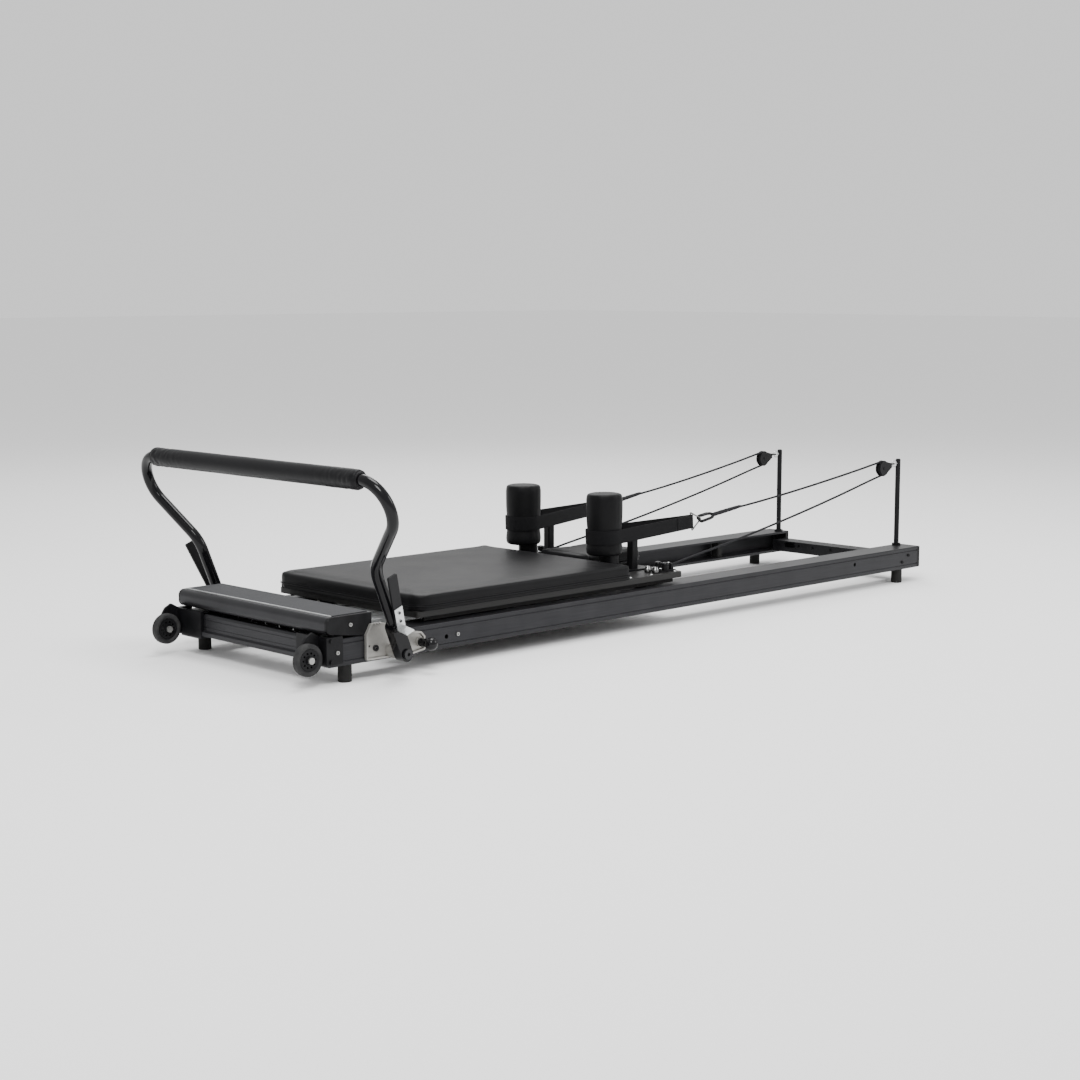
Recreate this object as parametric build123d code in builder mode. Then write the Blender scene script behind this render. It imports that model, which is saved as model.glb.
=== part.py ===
"""Pilates reformer: sliding carriage on two channel rails, with a footbar, springs and ropes.

+Z is up with z = 0 at the soles of the feet, +X runs towards the head end (rope risers),
the footbar is at the -X end and the left side is at -Y.  Millimetres.
"""
from build123d import *
from math import cos, pi, radians, sin, tan
import os

os.makedirs("parts", exist_ok=True)

# ---------------------------------------------------------------- driving dimensions
HALF_LENGTH = 1180.0          # head end, measured from the layout datum
DATUM_SHIFT = 5.0             # the written parts are centred on their overall length
SIDES = {"left": -1, "right": 1}

RAIL_OUTER_Y = 292.0
RAIL_WIDTH = 80.0
RAIL_BOTTOM_Z = 40.0
RAIL_TOP_Z = 103.0
RAIL_FOOT_X = -1078.0
END_CAP_THICKNESS = 14.0
TRACK_FLOOR_Z = 48.0
TRACK_ROOF_Z = 97.0
TRACK_DEPTH = 45.0
GROOVE_HEIGHT = 3.2
GROOVE_DEPTH = 2.2
GROOVE_LEVELS = (52.0, 92.0)
LOCK_HOLE_XS = (-819.0, -730.0)
LOCK_Z = 68.0

FOOT_RADIUS = 16.0
FOOT_XS = (-1022.0, 1087.0)
FOOT_Y = 275.0

CROSS_HALF_Y = 188.0
BRACKET_OUTER_Y = 299.0
WHEEL_X = -1133.0
WHEEL_YS = {-1: -284.0, 1: 273.0}   # both wheels sit on the -Y side of their ears
WHEEL_Z = 65.0
WHEEL_RADIUS = 37.0
WHEEL_WIDTH = 20.0
HUB_RADIUS = 25.0
AXLE_RADIUS = 4.0
RUNNING = 0.05                # radial clearance of every turning fit

HEADBAR_X0 = 1100.0
HEADBAR_X1 = 1160.0
HEADBAR_Z0 = 48.0
HEADBAR_Z1 = 82.0
HEADBAR_WALL = 4.0

PLATFORM_FRONT_X = -1085.0
PLATFORM_BACK_X = -955.0
PLATFORM_TOP_Z = 154.0
PLATFORM_HALF_Y = 284.0
PLATFORM_CAP = 8.0
MAT_THICKNESS = 2.0

SPRING_PITCH = 54.0
SPRING_COUNT = 5
SPRING_Z = 88.0
SPRING_RADIUS = 13.0
SPRING_WALL = 1.6
SPRING_BAR_X = -1036.0
PEG_LENGTH = 14.0
ANCHOR_X = -430.0

RISER_X = 1148.0
RISER_Y = 228.0
RISER_RADIUS = 7.5
RISER_TOP_Z = 366.0
EYE_X = 1128.0
EYE_Z = 352.0
BOW_X = 1116.2
SHEAVE_X = 1065.0
SHEAVE_Y = 230.0
SHEAVE_Z = 342.0
SHEAVE_RADIUS = 23.5
ROPE_RADIUS = 3.0
ROPE_TURN_RADIUS = 20.0

PLATE_INNER_Y = 292.4
PLATE_WEB = 3.0
PLATE_RIM = 8.0
PIVOT_X = -905.0
PIVOT_Z = 58.0
PIVOT_RADIUS = 8.0
LEG_LEAN = 21.8               # degrees, towards the foot end
LEG_Y = 342.0
TUBE_RADIUS = 13.5
TUBE_WALL = 2.0
LEG_BEND_S = 218.0
BAR_S = 444.0
BAR_BEND = 70.0
GRIP_RADIUS = 23.5
GRIP_HALF_Y = 400.0

LEVER_S = 70.0
LEVER_OFFSET = 1.0
LEVER_Y = 362.0
LEVER_TILT = 13.4
LEVER_WIDTH = 26.0
LEVER_LENGTH = 134.0
LEVER_THICKNESS = 5.0

BASE_X0 = -800.0
BASE_X1 = 132.0
BASE_HALF_Y = 268.0
BASE_Z0 = 117.0
BASE_Z1 = 132.0
PAD_X0 = -808.0
PAD_X1 = -78.0
PAD_HALF_Y = 283.0
PAD_TOP_Z = 174.0
PAD_CORNER = 42.0

TRACK_WHEEL_RADIUS = 23.0
TRACK_WHEEL_WIDTH = 18.0
TRACK_WHEEL_Y = 235.0
TRACK_WHEEL_XS = {"foot": -700.0, "head": 40.0}
CARRIAGE_TRAVEL = 780.0
STOP_LENGTH = 20.0
STOP_GAP = 2.0                # between a wheel and its stop at the end of the travel
SIDE_ROLLER_RADIUS = 18.0
SIDE_ROLLER_STEP = 60.0
HANGER_Y = 199.0

REST_X = -53.0
REST_Y = 154.0
REST_RADIUS = 45.0
REST_BOTTOM_Z = 182.0
REST_TOP_Z = 348.0
NECK_X = -36.0                # the rest's neck stands a little off its centre
NECK_RADIUS = 26.0
POST_X = 50.0
POST_Y = 159.0
POST_SIZE = 22.0

HEADREST_X0 = -54.0
HEADREST_X1 = 165.0
HEADREST_HALF_Y = 98.0
HEADREST_Z0 = 142.0
HEADREST_Z1 = 175.0

STRAP_ZS = {-1: 233.0, 1: 243.0}
STRAP_WIDTH = 37.0
STRAP_THICKNESS = 2.5
RING_X = 264.0
RING_Y = 178.0
RING_ZS = {-1: 246.0, 1: 255.0}
HOOK_OFFSET = 56.2
HOOK_WIRE_RADIUS = 2.4

CLEAT_X = 98.0
CLEAT_Y = 225.0
CLEAT_LENGTH = 62.0


def side_plane(y):
    """Sketch plane facing -Y at height y, with X across and Z up."""
    return Plane.XZ.offset(-y)


def across(x, y, z):
    """Location whose own Z lies along the row's Y."""
    return Location((x, y, z), (90, 0, 0))


def save(builder, name):
    """Shift a finished piece to the centred frame, label it and write it under its node's name."""
    piece = builder.part.moved(Location((-DATUM_SHIFT, 0, 0)))
    piece.label = name
    export_step(piece, f"parts/{name}.step")


# ---------------------------------------------------------------- fixed frame
def make_rail(name, side):
    """Hollow box outside, open track for the carriage wheels on the inside."""
    middle = side * (RAIL_OUTER_Y - RAIL_WIDTH / 2)
    height = RAIL_TOP_Z - RAIL_BOTTOM_Z
    inner = RAIL_OUTER_Y - RAIL_WIDTH
    length = HALF_LENGTH - END_CAP_THICKNESS - RAIL_FOOT_X
    with BuildPart() as rail:
        with BuildSketch(Plane.YZ.offset(RAIL_FOOT_X)) as section:
            with Locations((middle, RAIL_BOTTOM_Z + height / 2)):
                Rectangle(RAIL_WIDTH, height)
            fillet(section.vertices(), 2.5)
            with Locations((side * (RAIL_OUTER_Y - 17.5), RAIL_BOTTOM_Z + height / 2)):
                Rectangle(25, height - 10, mode=Mode.SUBTRACT)
            with Locations((side * (inner + TRACK_DEPTH / 2), (TRACK_FLOOR_Z + TRACK_ROOF_Z) / 2)):
                Rectangle(TRACK_DEPTH, TRACK_ROOF_Z - TRACK_FLOOR_Z, mode=Mode.SUBTRACT)
            with Locations([(side * RAIL_OUTER_Y, z) for z in GROOVE_LEVELS]):
                Rectangle(2 * GROOVE_DEPTH, GROOVE_HEIGHT, mode=Mode.SUBTRACT)
        extrude(amount=length)
        with Locations([across(x, side * RAIL_OUTER_Y, LOCK_Z) for x in LOCK_HOLE_XS]):
            Cylinder(5.5, 12, mode=Mode.SUBTRACT)
        with Locations(across(856, side * RAIL_OUTER_Y, 78)):
            Cylinder(5.5, 12, mode=Mode.SUBTRACT)
    save(rail, name)


def make_rail_end_caps():
    """Moulded caps that close the head ends of both rails."""
    height = RAIL_TOP_Z - RAIL_BOTTOM_Z
    start = HALF_LENGTH - END_CAP_THICKNESS
    with BuildPart() as caps:
        for side in SIDES.values():
            middle = side * (RAIL_OUTER_Y - RAIL_WIDTH / 2)
            with BuildSketch(Plane.YZ.offset(start)):
                with Locations((middle, RAIL_BOTTOM_Z + height / 2)):
                    RectangleRounded(RAIL_WIDTH, height, 3)
            extrude(amount=END_CAP_THICKNESS)
            with Locations((start - 10, side * (RAIL_OUTER_Y - 17.5), RAIL_BOTTOM_Z + height / 2)):
                Box(20, 24, height - 11)
        outer = caps.faces().filter_by(Axis.X).sort_by(Axis.X)[-2:]
        chamfer(outer.edges(), 1)
    save(caps, "rail_end_caps")


def make_front_cross_member():
    """Foot-end beam between the corner brackets, with a stepped lower flange."""
    with BuildPart() as beam:
        with BuildSketch(Plane.XZ.offset(-CROSS_HALF_Y)) as section:
            with BuildLine():
                Polyline((-1090, 52), (-1056, 52), (-1056, 104), (-1078, 104),
                         (-1083, 99), (-1083, 66), (-1090, 62), close=True)
            make_face()
            with Locations((-1068, 78)):
                Rectangle(16, 40, mode=Mode.SUBTRACT)
        extrude(amount=2 * CROSS_HALF_Y)
        with Locations([(-1083, 0, z) for z in (74, 92)]):
            Box(2.4, 2 * CROSS_HALF_Y, 2.4, mode=Mode.SUBTRACT)
    save(beam, "front_cross_member")


def make_head_crossbar():
    """Pressed channel across the head end, pierced along its inner face."""
    width = HEADBAR_X1 - HEADBAR_X0
    height = HEADBAR_Z1 - HEADBAR_Z0
    middle = (HEADBAR_X0 + HEADBAR_X1) / 2
    half = RAIL_OUTER_Y - RAIL_WIDTH
    with BuildPart() as bar:
        with BuildSketch(Plane.XZ.offset(-half)):
            with Locations((middle, HEADBAR_Z0 + height / 2)):
                Rectangle(width, height)
            with Locations((middle, HEADBAR_Z0 + (height - HEADBAR_WALL) / 2)):
                Rectangle(width - 2 * HEADBAR_WALL, height - HEADBAR_WALL, mode=Mode.SUBTRACT)
        extrude(amount=2 * half)
        with Locations([(HEADBAR_X0, y, HEADBAR_Z0 + 22) for y in (-144, 144)]):
            Box(3 * HEADBAR_WALL, 42, 16, mode=Mode.SUBTRACT)
        with Locations([(HEADBAR_X0, y, HEADBAR_Z0 + 22) for y in (-75, -17, 53, 107)]):
            Box(3 * HEADBAR_WALL, 9, 9, mode=Mode.SUBTRACT)
    save(bar, "head_crossbar")


def make_corner_brackets():
    """Steel corner plates that tie rail and cross member and carry the transport wheels."""
    with BuildPart() as brackets:
        for side in SIDES.values():
            with Locations((-1087, side * (BRACKET_OUTER_Y + CROSS_HALF_Y) / 2, 79)):
                Box(9, BRACKET_OUTER_Y - CROSS_HALF_Y - 0.4, 62)
            with Locations((-1068, side * (BRACKET_OUTER_Y + RAIL_OUTER_Y) / 2, 79)):
                Box(46, BRACKET_OUTER_Y - RAIL_OUTER_Y, 62)
            ear_y = WHEEL_YS[side] + WHEEL_WIDTH / 2 + 4
            with BuildSketch(side_plane(ear_y)) as ear:
                with BuildLine():
                    Polyline((-1087, 48), (-1087, 110), (-1108, 122), (-1126, 112),
                             (-1152, 72), (-1142, 46), (-1120, 44), close=True)
                make_face()
                fillet(ear.vertices(), 4)
                with Locations((WHEEL_X, WHEEL_Z)):
                    Circle(AXLE_RADIUS + RUNNING, mode=Mode.SUBTRACT)
            extrude(amount=-6)
            with Locations(*[across(-1078, side * (BRACKET_OUTER_Y + 2), z) for z in (54, 102)]):
                Cylinder(5, 4)
    save(brackets, "corner_brackets")


def make_feet():
    """Rubber feet under the rail ends."""
    with BuildPart() as feet:
        with Locations([(x, side * FOOT_Y, RAIL_BOTTOM_Z / 2) for x in FOOT_XS for side in (-1, 1)]):
            Cylinder(FOOT_RADIUS, RAIL_BOTTOM_Z)
        chamfer(feet.edges().group_by(Axis.Z)[0], 1.5)
    save(feet, "feet")


def platform_outline(inset):
    """Section of the standing platform: rounded nose, raked underside."""
    front = PLATFORM_FRONT_X + inset
    back = PLATFORM_BACK_X - inset
    top = PLATFORM_TOP_Z - inset
    with BuildSketch(Plane.XZ.offset(-PLATFORM_HALF_Y)) as outline:
        with BuildLine():
            Polyline((front, 115 + inset), (front, top), (back, top),
                     (back, RAIL_TOP_Z + inset), (back - 30 + 2 * inset, RAIL_TOP_Z + inset), close=True)
        make_face()
        nose = outline.vertices().group_by(Axis.X)[0]
        fillet(nose, 15 - inset)
    return outline.sketch


def make_platform_beam():
    """Hollow extrusion of the standing platform."""
    outer = platform_outline(0)
    hollow = platform_outline(3)
    with BuildPart() as beam:
        extrude(outer, amount=2 * PLATFORM_HALF_Y)
        extrude(hollow, amount=2 * PLATFORM_HALF_Y, mode=Mode.SUBTRACT)
    save(beam, "platform_beam")


def make_platform_end_caps():
    """Moulded caps on both ends of the platform."""
    outline = platform_outline(0)
    with BuildPart() as caps:
        extrude(outline, amount=-PLATFORM_CAP)
        mirror(about=Plane.XZ)
        edges = caps.faces().filter_by(Axis.Y).sort_by(Axis.Y)
        chamfer(edges[0].edges() + edges[-1].edges(), 1.5)
    save(caps, "platform_end_caps")


def make_platform_mat():
    """Ribbed grip mat on the platform's top."""
    with BuildPart() as mat:
        with Locations(((PLATFORM_FRONT_X + PLATFORM_BACK_X) / 2 + 7, 0, PLATFORM_TOP_Z + MAT_THICKNESS / 2)):
            Box(102, 2 * PLATFORM_HALF_Y - 2, MAT_THICKNESS)
    save(mat, "platform_mat")


def spring_ys():
    """Where the springs lie across the frame."""
    first = -SPRING_PITCH * (SPRING_COUNT - 1) / 2
    return [first + SPRING_PITCH * i for i in range(SPRING_COUNT)]


def make_spring_bar():
    """Slotted bar that holds the springs' foot ends."""
    with BuildPart() as bar:
        with Locations((SPRING_BAR_X - 3, 0, 87.5)):
            Box(6, 2 * (RAIL_OUTER_Y - RAIL_WIDTH), 39)
        with Locations([(SPRING_BAR_X - 3, y, 99) for y in spring_ys()]):
            Box(8, 12, 17, mode=Mode.SUBTRACT)
    save(bar, "spring_bar")


def make_spring_pegs():
    """Mushroom-headed pegs that the springs hook over."""
    with BuildPart() as pegs:
        peg_x = SPRING_BAR_X + PEG_LENGTH / 2
        with Locations([Location((peg_x, y, SPRING_Z), (0, 90, 0)) for y in spring_ys()]):
            Cylinder(4, PEG_LENGTH)
        with Locations([Location((SPRING_BAR_X + PEG_LENGTH, y, SPRING_Z), (0, 90, 0)) for y in spring_ys()]):
            Cylinder(7, 4)
    save(pegs, "spring_pegs")


def make_risers():
    """Rope posts at the head end, each on a round collar."""
    with BuildPart() as risers:
        for side in SIDES.values():
            with Locations((RISER_X, side * RISER_Y, (RAIL_TOP_Z + RISER_TOP_Z) / 2)):
                Cylinder(RISER_RADIUS, RISER_TOP_Z - RAIL_TOP_Z)
            with Locations((RISER_X, side * RISER_Y, RAIL_TOP_Z + 3)):
                Cylinder(13, 6)
        fillet(risers.edges().group_by(Axis.Z)[-1], 4)
    save(risers, "risers")


def make_eye_bolts():
    """Steel eyes on the risers that carry the pulley blocks."""
    with BuildPart() as eyes:
        for side in SIDES.values():
            with Locations(across(EYE_X, side * RISER_Y, EYE_Z)):
                Torus(9, 2.2)
            shank = Location((EYE_X + 10.4, side * RISER_Y, EYE_Z), (0, 90, 0))
            with Locations(shank):
                Cylinder(3, 4)
    save(eyes, "eye_bolts")


def add_wheel_bolt(side):
    """Shoulder bolt that a transport wheel turns on, its head on the -Y side."""
    head_y = WHEEL_YS[side] - WHEEL_WIDTH / 2 - 1.5
    with Locations(across(WHEEL_X, head_y + 17, WHEEL_Z)):
        Cylinder(AXLE_RADIUS, 34)
    with Locations(across(WHEEL_X, head_y - 2.5, WHEEL_Z)):
        Cylinder(7.5, 5)
    with Locations(across(WHEEL_X, WHEEL_YS[side] + WHEEL_WIDTH / 2 + 12.5, WHEEL_Z)):
        Cylinder(6.5, 5)


def make_carriage_stops():
    """Rubber blocks bolted into the tracks, one ahead of each head wheel and one behind each foot wheel."""
    head_x = TRACK_WHEEL_XS["head"] + TRACK_WHEEL_RADIUS + CARRIAGE_TRAVEL + STOP_GAP + STOP_LENGTH / 2
    foot_x = TRACK_WHEEL_XS["foot"] - TRACK_WHEEL_RADIUS - STOP_GAP - STOP_LENGTH / 2
    with BuildPart() as stops:
        with Locations([(x, side * TRACK_WHEEL_Y, 70) for x in (head_x, foot_x) for side in (-1, 1)]):
            Box(STOP_LENGTH, 28, 2 * (70 - TRACK_FLOOR_Z))
        fillet(stops.edges().filter_by(Axis.Z), 4)
    save(stops, "carriage_stops")


def make_frame_bolts():
    """Bolt heads on the rails, brackets and platform caps, and the transport wheels' shoulder bolts."""
    cap_y = PLATFORM_HALF_Y + PLATFORM_CAP
    with BuildPart() as bolts:
        for side in SIDES.values():
            places = [across(-695, side * (RAIL_OUTER_Y + 1.5), 70)]
            places += [across(x, side * (RAIL_OUTER_Y + 1.5), z) for x, z in ((1122, 80), (1091, 62))]
            places += [across(-1061, side * (BRACKET_OUTER_Y + 1.5), 74)]
            places += [across(-1018, side * (cap_y + 1.5), 132)]
            with Locations(places):
                Cylinder(4.5, 3)
                Cylinder(2, 3.2, mode=Mode.SUBTRACT)
            add_wheel_bolt(side)
    save(bolts, "frame_bolts")


# ---------------------------------------------------------------- transport wheels
def make_transport_wheel(side_name, side):
    """Soft tyre on a pierced hub."""
    with BuildPart() as tyre:
        with BuildSketch() as section:
            with Locations(((WHEEL_RADIUS + HUB_RADIUS) / 2, 0)):
                RectangleRounded(WHEEL_RADIUS - HUB_RADIUS, WHEEL_WIDTH, 5.8)
        revolve(axis=Axis.Y)
    tyre.part.position = (WHEEL_X, WHEEL_YS[side], WHEEL_Z)
    save(tyre, f"wheel_tyre_{side_name}")
    with BuildPart() as hub:
        Cylinder(HUB_RADIUS, WHEEL_WIDTH - 6, rotation=(90, 0, 0))
        Cylinder(10, WHEEL_WIDTH, rotation=(90, 0, 0))
        Cylinder(AXLE_RADIUS + RUNNING, WHEEL_WIDTH + 2, rotation=(90, 0, 0), mode=Mode.SUBTRACT)
        with Locations(Rotation(90, 0, 0)):
            with PolarLocations(16.5, 10):
                Cylinder(2.6, WHEEL_WIDTH, mode=Mode.SUBTRACT)
    hub.part.position = (WHEEL_X, WHEEL_YS[side], WHEEL_Z)
    save(hub, f"wheel_hub_{side_name}")


# ---------------------------------------------------------------- pulleys
def make_pulley_block(side_name, side):
    """Two cheeks, a pin and a bow that hooks the riser's eye."""
    with BuildPart() as block:
        for cheek in (-1, 1):
            with BuildSketch(side_plane(side * SHEAVE_Y + cheek * 7.5)) as face:
                with BuildLine():
                    Polyline((SHEAVE_X - 20, SHEAVE_Z - 4), (SHEAVE_X + 4, SHEAVE_Z + 21),
                             (SHEAVE_X + 36, SHEAVE_Z + 13), (SHEAVE_X + 38, SHEAVE_Z + 1),
                             (SHEAVE_X + 6, SHEAVE_Z - 20), close=True)
                make_face()
                with Locations((SHEAVE_X, SHEAVE_Z)):
                    Circle(21)
            extrude(amount=1.25, both=True)
        with Locations(across(SHEAVE_X, side * SHEAVE_Y, SHEAVE_Z)):
            Cylinder(4, 21)
        with Locations((SHEAVE_X + 33, side * SHEAVE_Y, SHEAVE_Z + 7)):
            Box(10, 15, 10)
        with Locations((BOW_X, side * RISER_Y, EYE_Z)):
            Torus(7.5, 2)
        tail_end = BOW_X - 7
        tail_start = SHEAVE_X + 34
        with Locations(((tail_start + tail_end) / 2, side * (SHEAVE_Y - 1), EYE_Z - 1)):
            Box(tail_end - tail_start, 7, 7)
    save(block, f"pulley_block_{side_name}")


def make_sheave(side_name, side):
    """Grooved pulley wheel."""
    groove = ROPE_TURN_RADIUS - ROPE_RADIUS - 0.3
    with BuildPart() as sheave:
        with BuildSketch(Plane.XY) as section:
            with BuildLine():
                Polyline((4 + RUNNING, -5.5), (SHEAVE_RADIUS, -5.5), (SHEAVE_RADIUS, -4.6), (groove, -3.4),
                         (groove, 3.4), (SHEAVE_RADIUS, 4.6), (SHEAVE_RADIUS, 5.5),
                          (4 + RUNNING, 5.5), close=True)
            make_face()
        revolve(axis=Axis.Y)
    sheave.part.position = (SHEAVE_X, side * SHEAVE_Y, SHEAVE_Z)
    save(sheave, f"sheave_{side_name}")


# ---------------------------------------------------------------- footbar carrier
def make_footbar_plates():
    """Cast side plates with a raised rim, a pivot boss and a rib that runs in the rail's groove."""
    with BuildPart() as plates:
        for side in SIDES.values():
            with BuildSketch(side_plane(side * PLATE_INNER_Y)) as outline:
                with BuildLine():
                    Polyline((-978, 45), (-978, 104), (-964, 128), (-932, 128), (-872, 111), (-850, 98),
                             (-814, 92), (-803, 80), (-803, 48), (-838, 43), close=True)
                make_face()
                fillet(outline.vertices(), 3.5)
            extrude(amount=-side * PLATE_RIM)
            with BuildSketch(side_plane(side * (PLATE_INNER_Y + PLATE_WEB))):
                with BuildLine():
                    Polyline((-974, 49), (-974, 103), (-961, 124), (-933, 124), (-874, 107), (-852, 94),
                             (-816, 88), (-807, 78), (-807, 52), (-839, 47), close=True)
                make_face()
            extrude(amount=-side * PLATE_RIM, mode=Mode.SUBTRACT)
            with Locations(across(PIVOT_X, side * (PLATE_INNER_Y + 17.5), PIVOT_Z)):
                Cylinder(15, 35)
            with Locations(across(LOCK_HOLE_XS[0], side * (PLATE_INNER_Y + 5), LOCK_Z)):
                Cylinder(11, 10)
            with Locations(((-978 - 803) / 2, side * (PLATE_INNER_Y - 0.9), GROOVE_LEVELS[0])):
                Box(150, 1.8, 2.2)
            with Locations(across(PIVOT_X, side * (PLATE_INNER_Y + 18), PIVOT_Z)):
                Cylinder(PIVOT_RADIUS + RUNNING, 40, mode=Mode.SUBTRACT)
            with Locations(across(LOCK_HOLE_XS[0], side * PLATE_INNER_Y, LOCK_Z)):
                Cylinder(5 + RUNNING, 30, mode=Mode.SUBTRACT)
            with Locations(across(-966, side * PLATE_INNER_Y, 76)):
                Cylinder(2.6, 30, mode=Mode.SUBTRACT)
            with Locations([(x, side * (PLATE_INNER_Y + 4), 127) for x in (-956, -948, -940)]):
                Box(3, 12, 12, mode=Mode.SUBTRACT)
    save(plates, "footbar_plates")


def make_carrier_bolts():
    """Pivot bolts of the footbar and the clamp bolts of its side plates."""
    with BuildPart() as bolts:
        for side in SIDES.values():
            with Locations(across(PIVOT_X, side * (PLATE_INNER_Y + 33), PIVOT_Z)):
                Cylinder(PIVOT_RADIUS, 65)
            with Locations(across(PIVOT_X, side * (LEG_Y + 17), PIVOT_Z)):
                Cylinder(12, 5)
                Cylinder(4, 5.2, mode=Mode.SUBTRACT)
            with Locations(across(-949, side * (PLATE_INNER_Y + PLATE_WEB + 2), 70)):
                Cylinder(7.5, 4)
                Cylinder(3, 4.2, mode=Mode.SUBTRACT)
    save(bolts, "carrier_bolts")


def make_pull_pin(side_name, side):
    """Locking pin with a collar and a round knob."""
    with BuildPart() as pin:
        with Locations(across(LOCK_HOLE_XS[0], side * 315, LOCK_Z)):
            Cylinder(5, 44)
        with Locations(across(LOCK_HOLE_XS[0], side * 314, LOCK_Z)):
            Cylinder(10, 20)
        with Locations((LOCK_HOLE_XS[0], side * 340, LOCK_Z)):
            Sphere(15.5)
    save(pin, f"pull_pin_{side_name}")


# ---------------------------------------------------------------- footbar
def bar_plane():
    """Leaning plane of the bent tube: X across the frame, Y up along the legs, from the pivot line."""
    lean = radians(LEG_LEAN)
    return Plane(origin=(PIVOT_X, 0, PIVOT_Z), x_dir=(0, 1, 0), z_dir=(cos(lean), 0, sin(lean)))


def leg_point(s, offset_x=0.0):
    """X and Z of a point s up the leg's line and offset_x across it, towards the head end."""
    lean = radians(LEG_LEAN)
    x = PIVOT_X - s * sin(lean) + offset_x * cos(lean)
    z = PIVOT_Z + s * cos(lean) + offset_x * sin(lean)
    return x, z


def make_footbar():
    """One tube bent out, in and across, on two forged leg ends."""
    plane = bar_plane()
    flare = LEG_Y + BAR_S - LEG_BEND_S
    with BuildPart() as bar:
        with BuildLine(plane) as route:
            FilletPolyline((-LEG_Y, 50), (-LEG_Y, LEG_BEND_S), (-flare, BAR_S),
                           (flare, BAR_S), (LEG_Y, LEG_BEND_S), (LEG_Y, 50),
                           radius=BAR_BEND)
        start = Plane(origin=route.wire() @ 0, z_dir=route.wire() % 0)
        with BuildSketch(start):
            Circle(TUBE_RADIUS)
            Circle(TUBE_RADIUS - TUBE_WALL, mode=Mode.SUBTRACT)
        sweep()
        for side in SIDES.values():
            x, z = leg_point(34)
            with BuildSketch(side_plane(side * (LEG_Y - TUBE_RADIUS))):
                with Locations((x, z)):
                    SlotOverall(104, 34, rotation=90 + LEG_LEAN)
                with Locations((PIVOT_X, PIVOT_Z)):
                    Circle(PIVOT_RADIUS + RUNNING, mode=Mode.SUBTRACT)
            extrude(amount=-side * 2 * TUBE_RADIUS)
    save(bar, "footbar")


def make_footbar_grip():
    """Padded sleeve round the cross tube."""
    x, z = leg_point(BAR_S)
    with BuildPart() as grip:
        with Locations(across(x, 0, z)):
            Cylinder(GRIP_RADIUS, 2 * GRIP_HALF_Y)
            Cylinder(TUBE_RADIUS + 0.1, 2 * GRIP_HALF_Y + 2, mode=Mode.SUBTRACT)
        fillet(grip.edges().filter_by(GeomType.CIRCLE).group_by(SortBy.RADIUS)[-1], 4)
    save(grip, "footbar_grip")


def lever_plane(side):
    """Plane of a release lever: X along its hinge, Y up the lever, tilted out from the leg."""
    lean = radians(LEG_LEAN)
    tilt = radians(LEVER_TILT)
    x, z = leg_point(LEVER_S, LEVER_OFFSET)
    hinge = Vector(cos(lean), 0, sin(lean))
    up = Vector(-sin(lean) * cos(tilt), side * sin(tilt), cos(lean) * cos(tilt))
    return Plane(origin=(x, side * LEVER_Y, z), x_dir=hinge, z_dir=hinge.cross(up))


def make_release_lever(side_name, side):
    """Flat steel lever that stands beside the leg."""
    plane = lever_plane(side)
    with BuildPart() as lever:
        with BuildSketch(plane):
            with Locations((0, 6 + LEVER_LENGTH / 2)):
                RectangleRounded(LEVER_WIDTH, LEVER_LENGTH, 3)
        extrude(amount=LEVER_THICKNESS / 2, both=True)
    save(lever, f"release_lever_{side_name}")


def make_lever_leaf(side_name, side):
    """Zinc hinge leaf on the lever, its knuckle and the tongue that stands out from it."""
    plane = lever_plane(side)
    outward = -side
    with BuildPart() as leaf:
        with BuildSketch(plane.offset(outward * LEVER_THICKNESS / 2)):
            with Locations((0, 30)):
                Rectangle(24, 50)
        extrude(amount=outward * 2)
        with Locations(plane * Location((0, 0, 0), (0, 90, 0))):
            Cylinder(4, 24)
            Cylinder(2 + RUNNING, 26, mode=Mode.SUBTRACT)
        with Locations(plane * Location((0, 2.5, outward * 3.2))):
            Box(24, 5, 2.4)
        with Locations(plane * Location((0, -1, outward * 18))):
            Box(24, 2, 30)
        for step in (20, 42):
            with Locations(plane * Location((0, step, outward * (LEVER_THICKNESS / 2 + 2.8)))):
                Cylinder(3.4, 1.6)
    save(leaf, f"lever_leaf_{side_name}")


def make_lever_blocks():
    """Lugs on the legs with the hinge pins of the release levers."""
    lean = radians(LEG_LEAN)
    with BuildPart() as blocks:
        for side in SIDES.values():
            x, z = leg_point(LEVER_S, LEVER_OFFSET)
            pin_x_dir = (cos(lean), 0, sin(lean))
            pin_plane = Plane(origin=(x, side * LEVER_Y, z), x_dir=pin_x_dir, z_dir=(0, -1, 0))
            with Locations(pin_plane * Location((0, 0, 0), (0, 90, 0))):
                Cylinder(2, 34)
            lug_inner = LEG_Y + TUBE_RADIUS
            lug_depth = LEVER_Y + 3.5 - lug_inner
            for end in (-1, 1):
                with Locations(pin_plane * Location((end * 14.8, 0, side * (lug_depth / 2 - 3.5)))):
                    Box(4.6, 9, lug_depth)
    save(blocks, "lever_blocks")


# ---------------------------------------------------------------- carriage
def make_carriage_base():
    """Board that everything on the carriage is fastened to."""
    with BuildPart() as base:
        with BuildSketch(Plane.XY.offset(BASE_Z0)):
            with Locations(((BASE_X0 + BASE_X1) / 2, 0)):
                RectangleRounded(BASE_X1 - BASE_X0, 2 * BASE_HALF_Y, 12)
        extrude(amount=BASE_Z1 - BASE_Z0)
        chamfer(base.faces().sort_by(Axis.Z)[-1].edges(), 1.5)
    save(base, "carriage_base")


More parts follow.
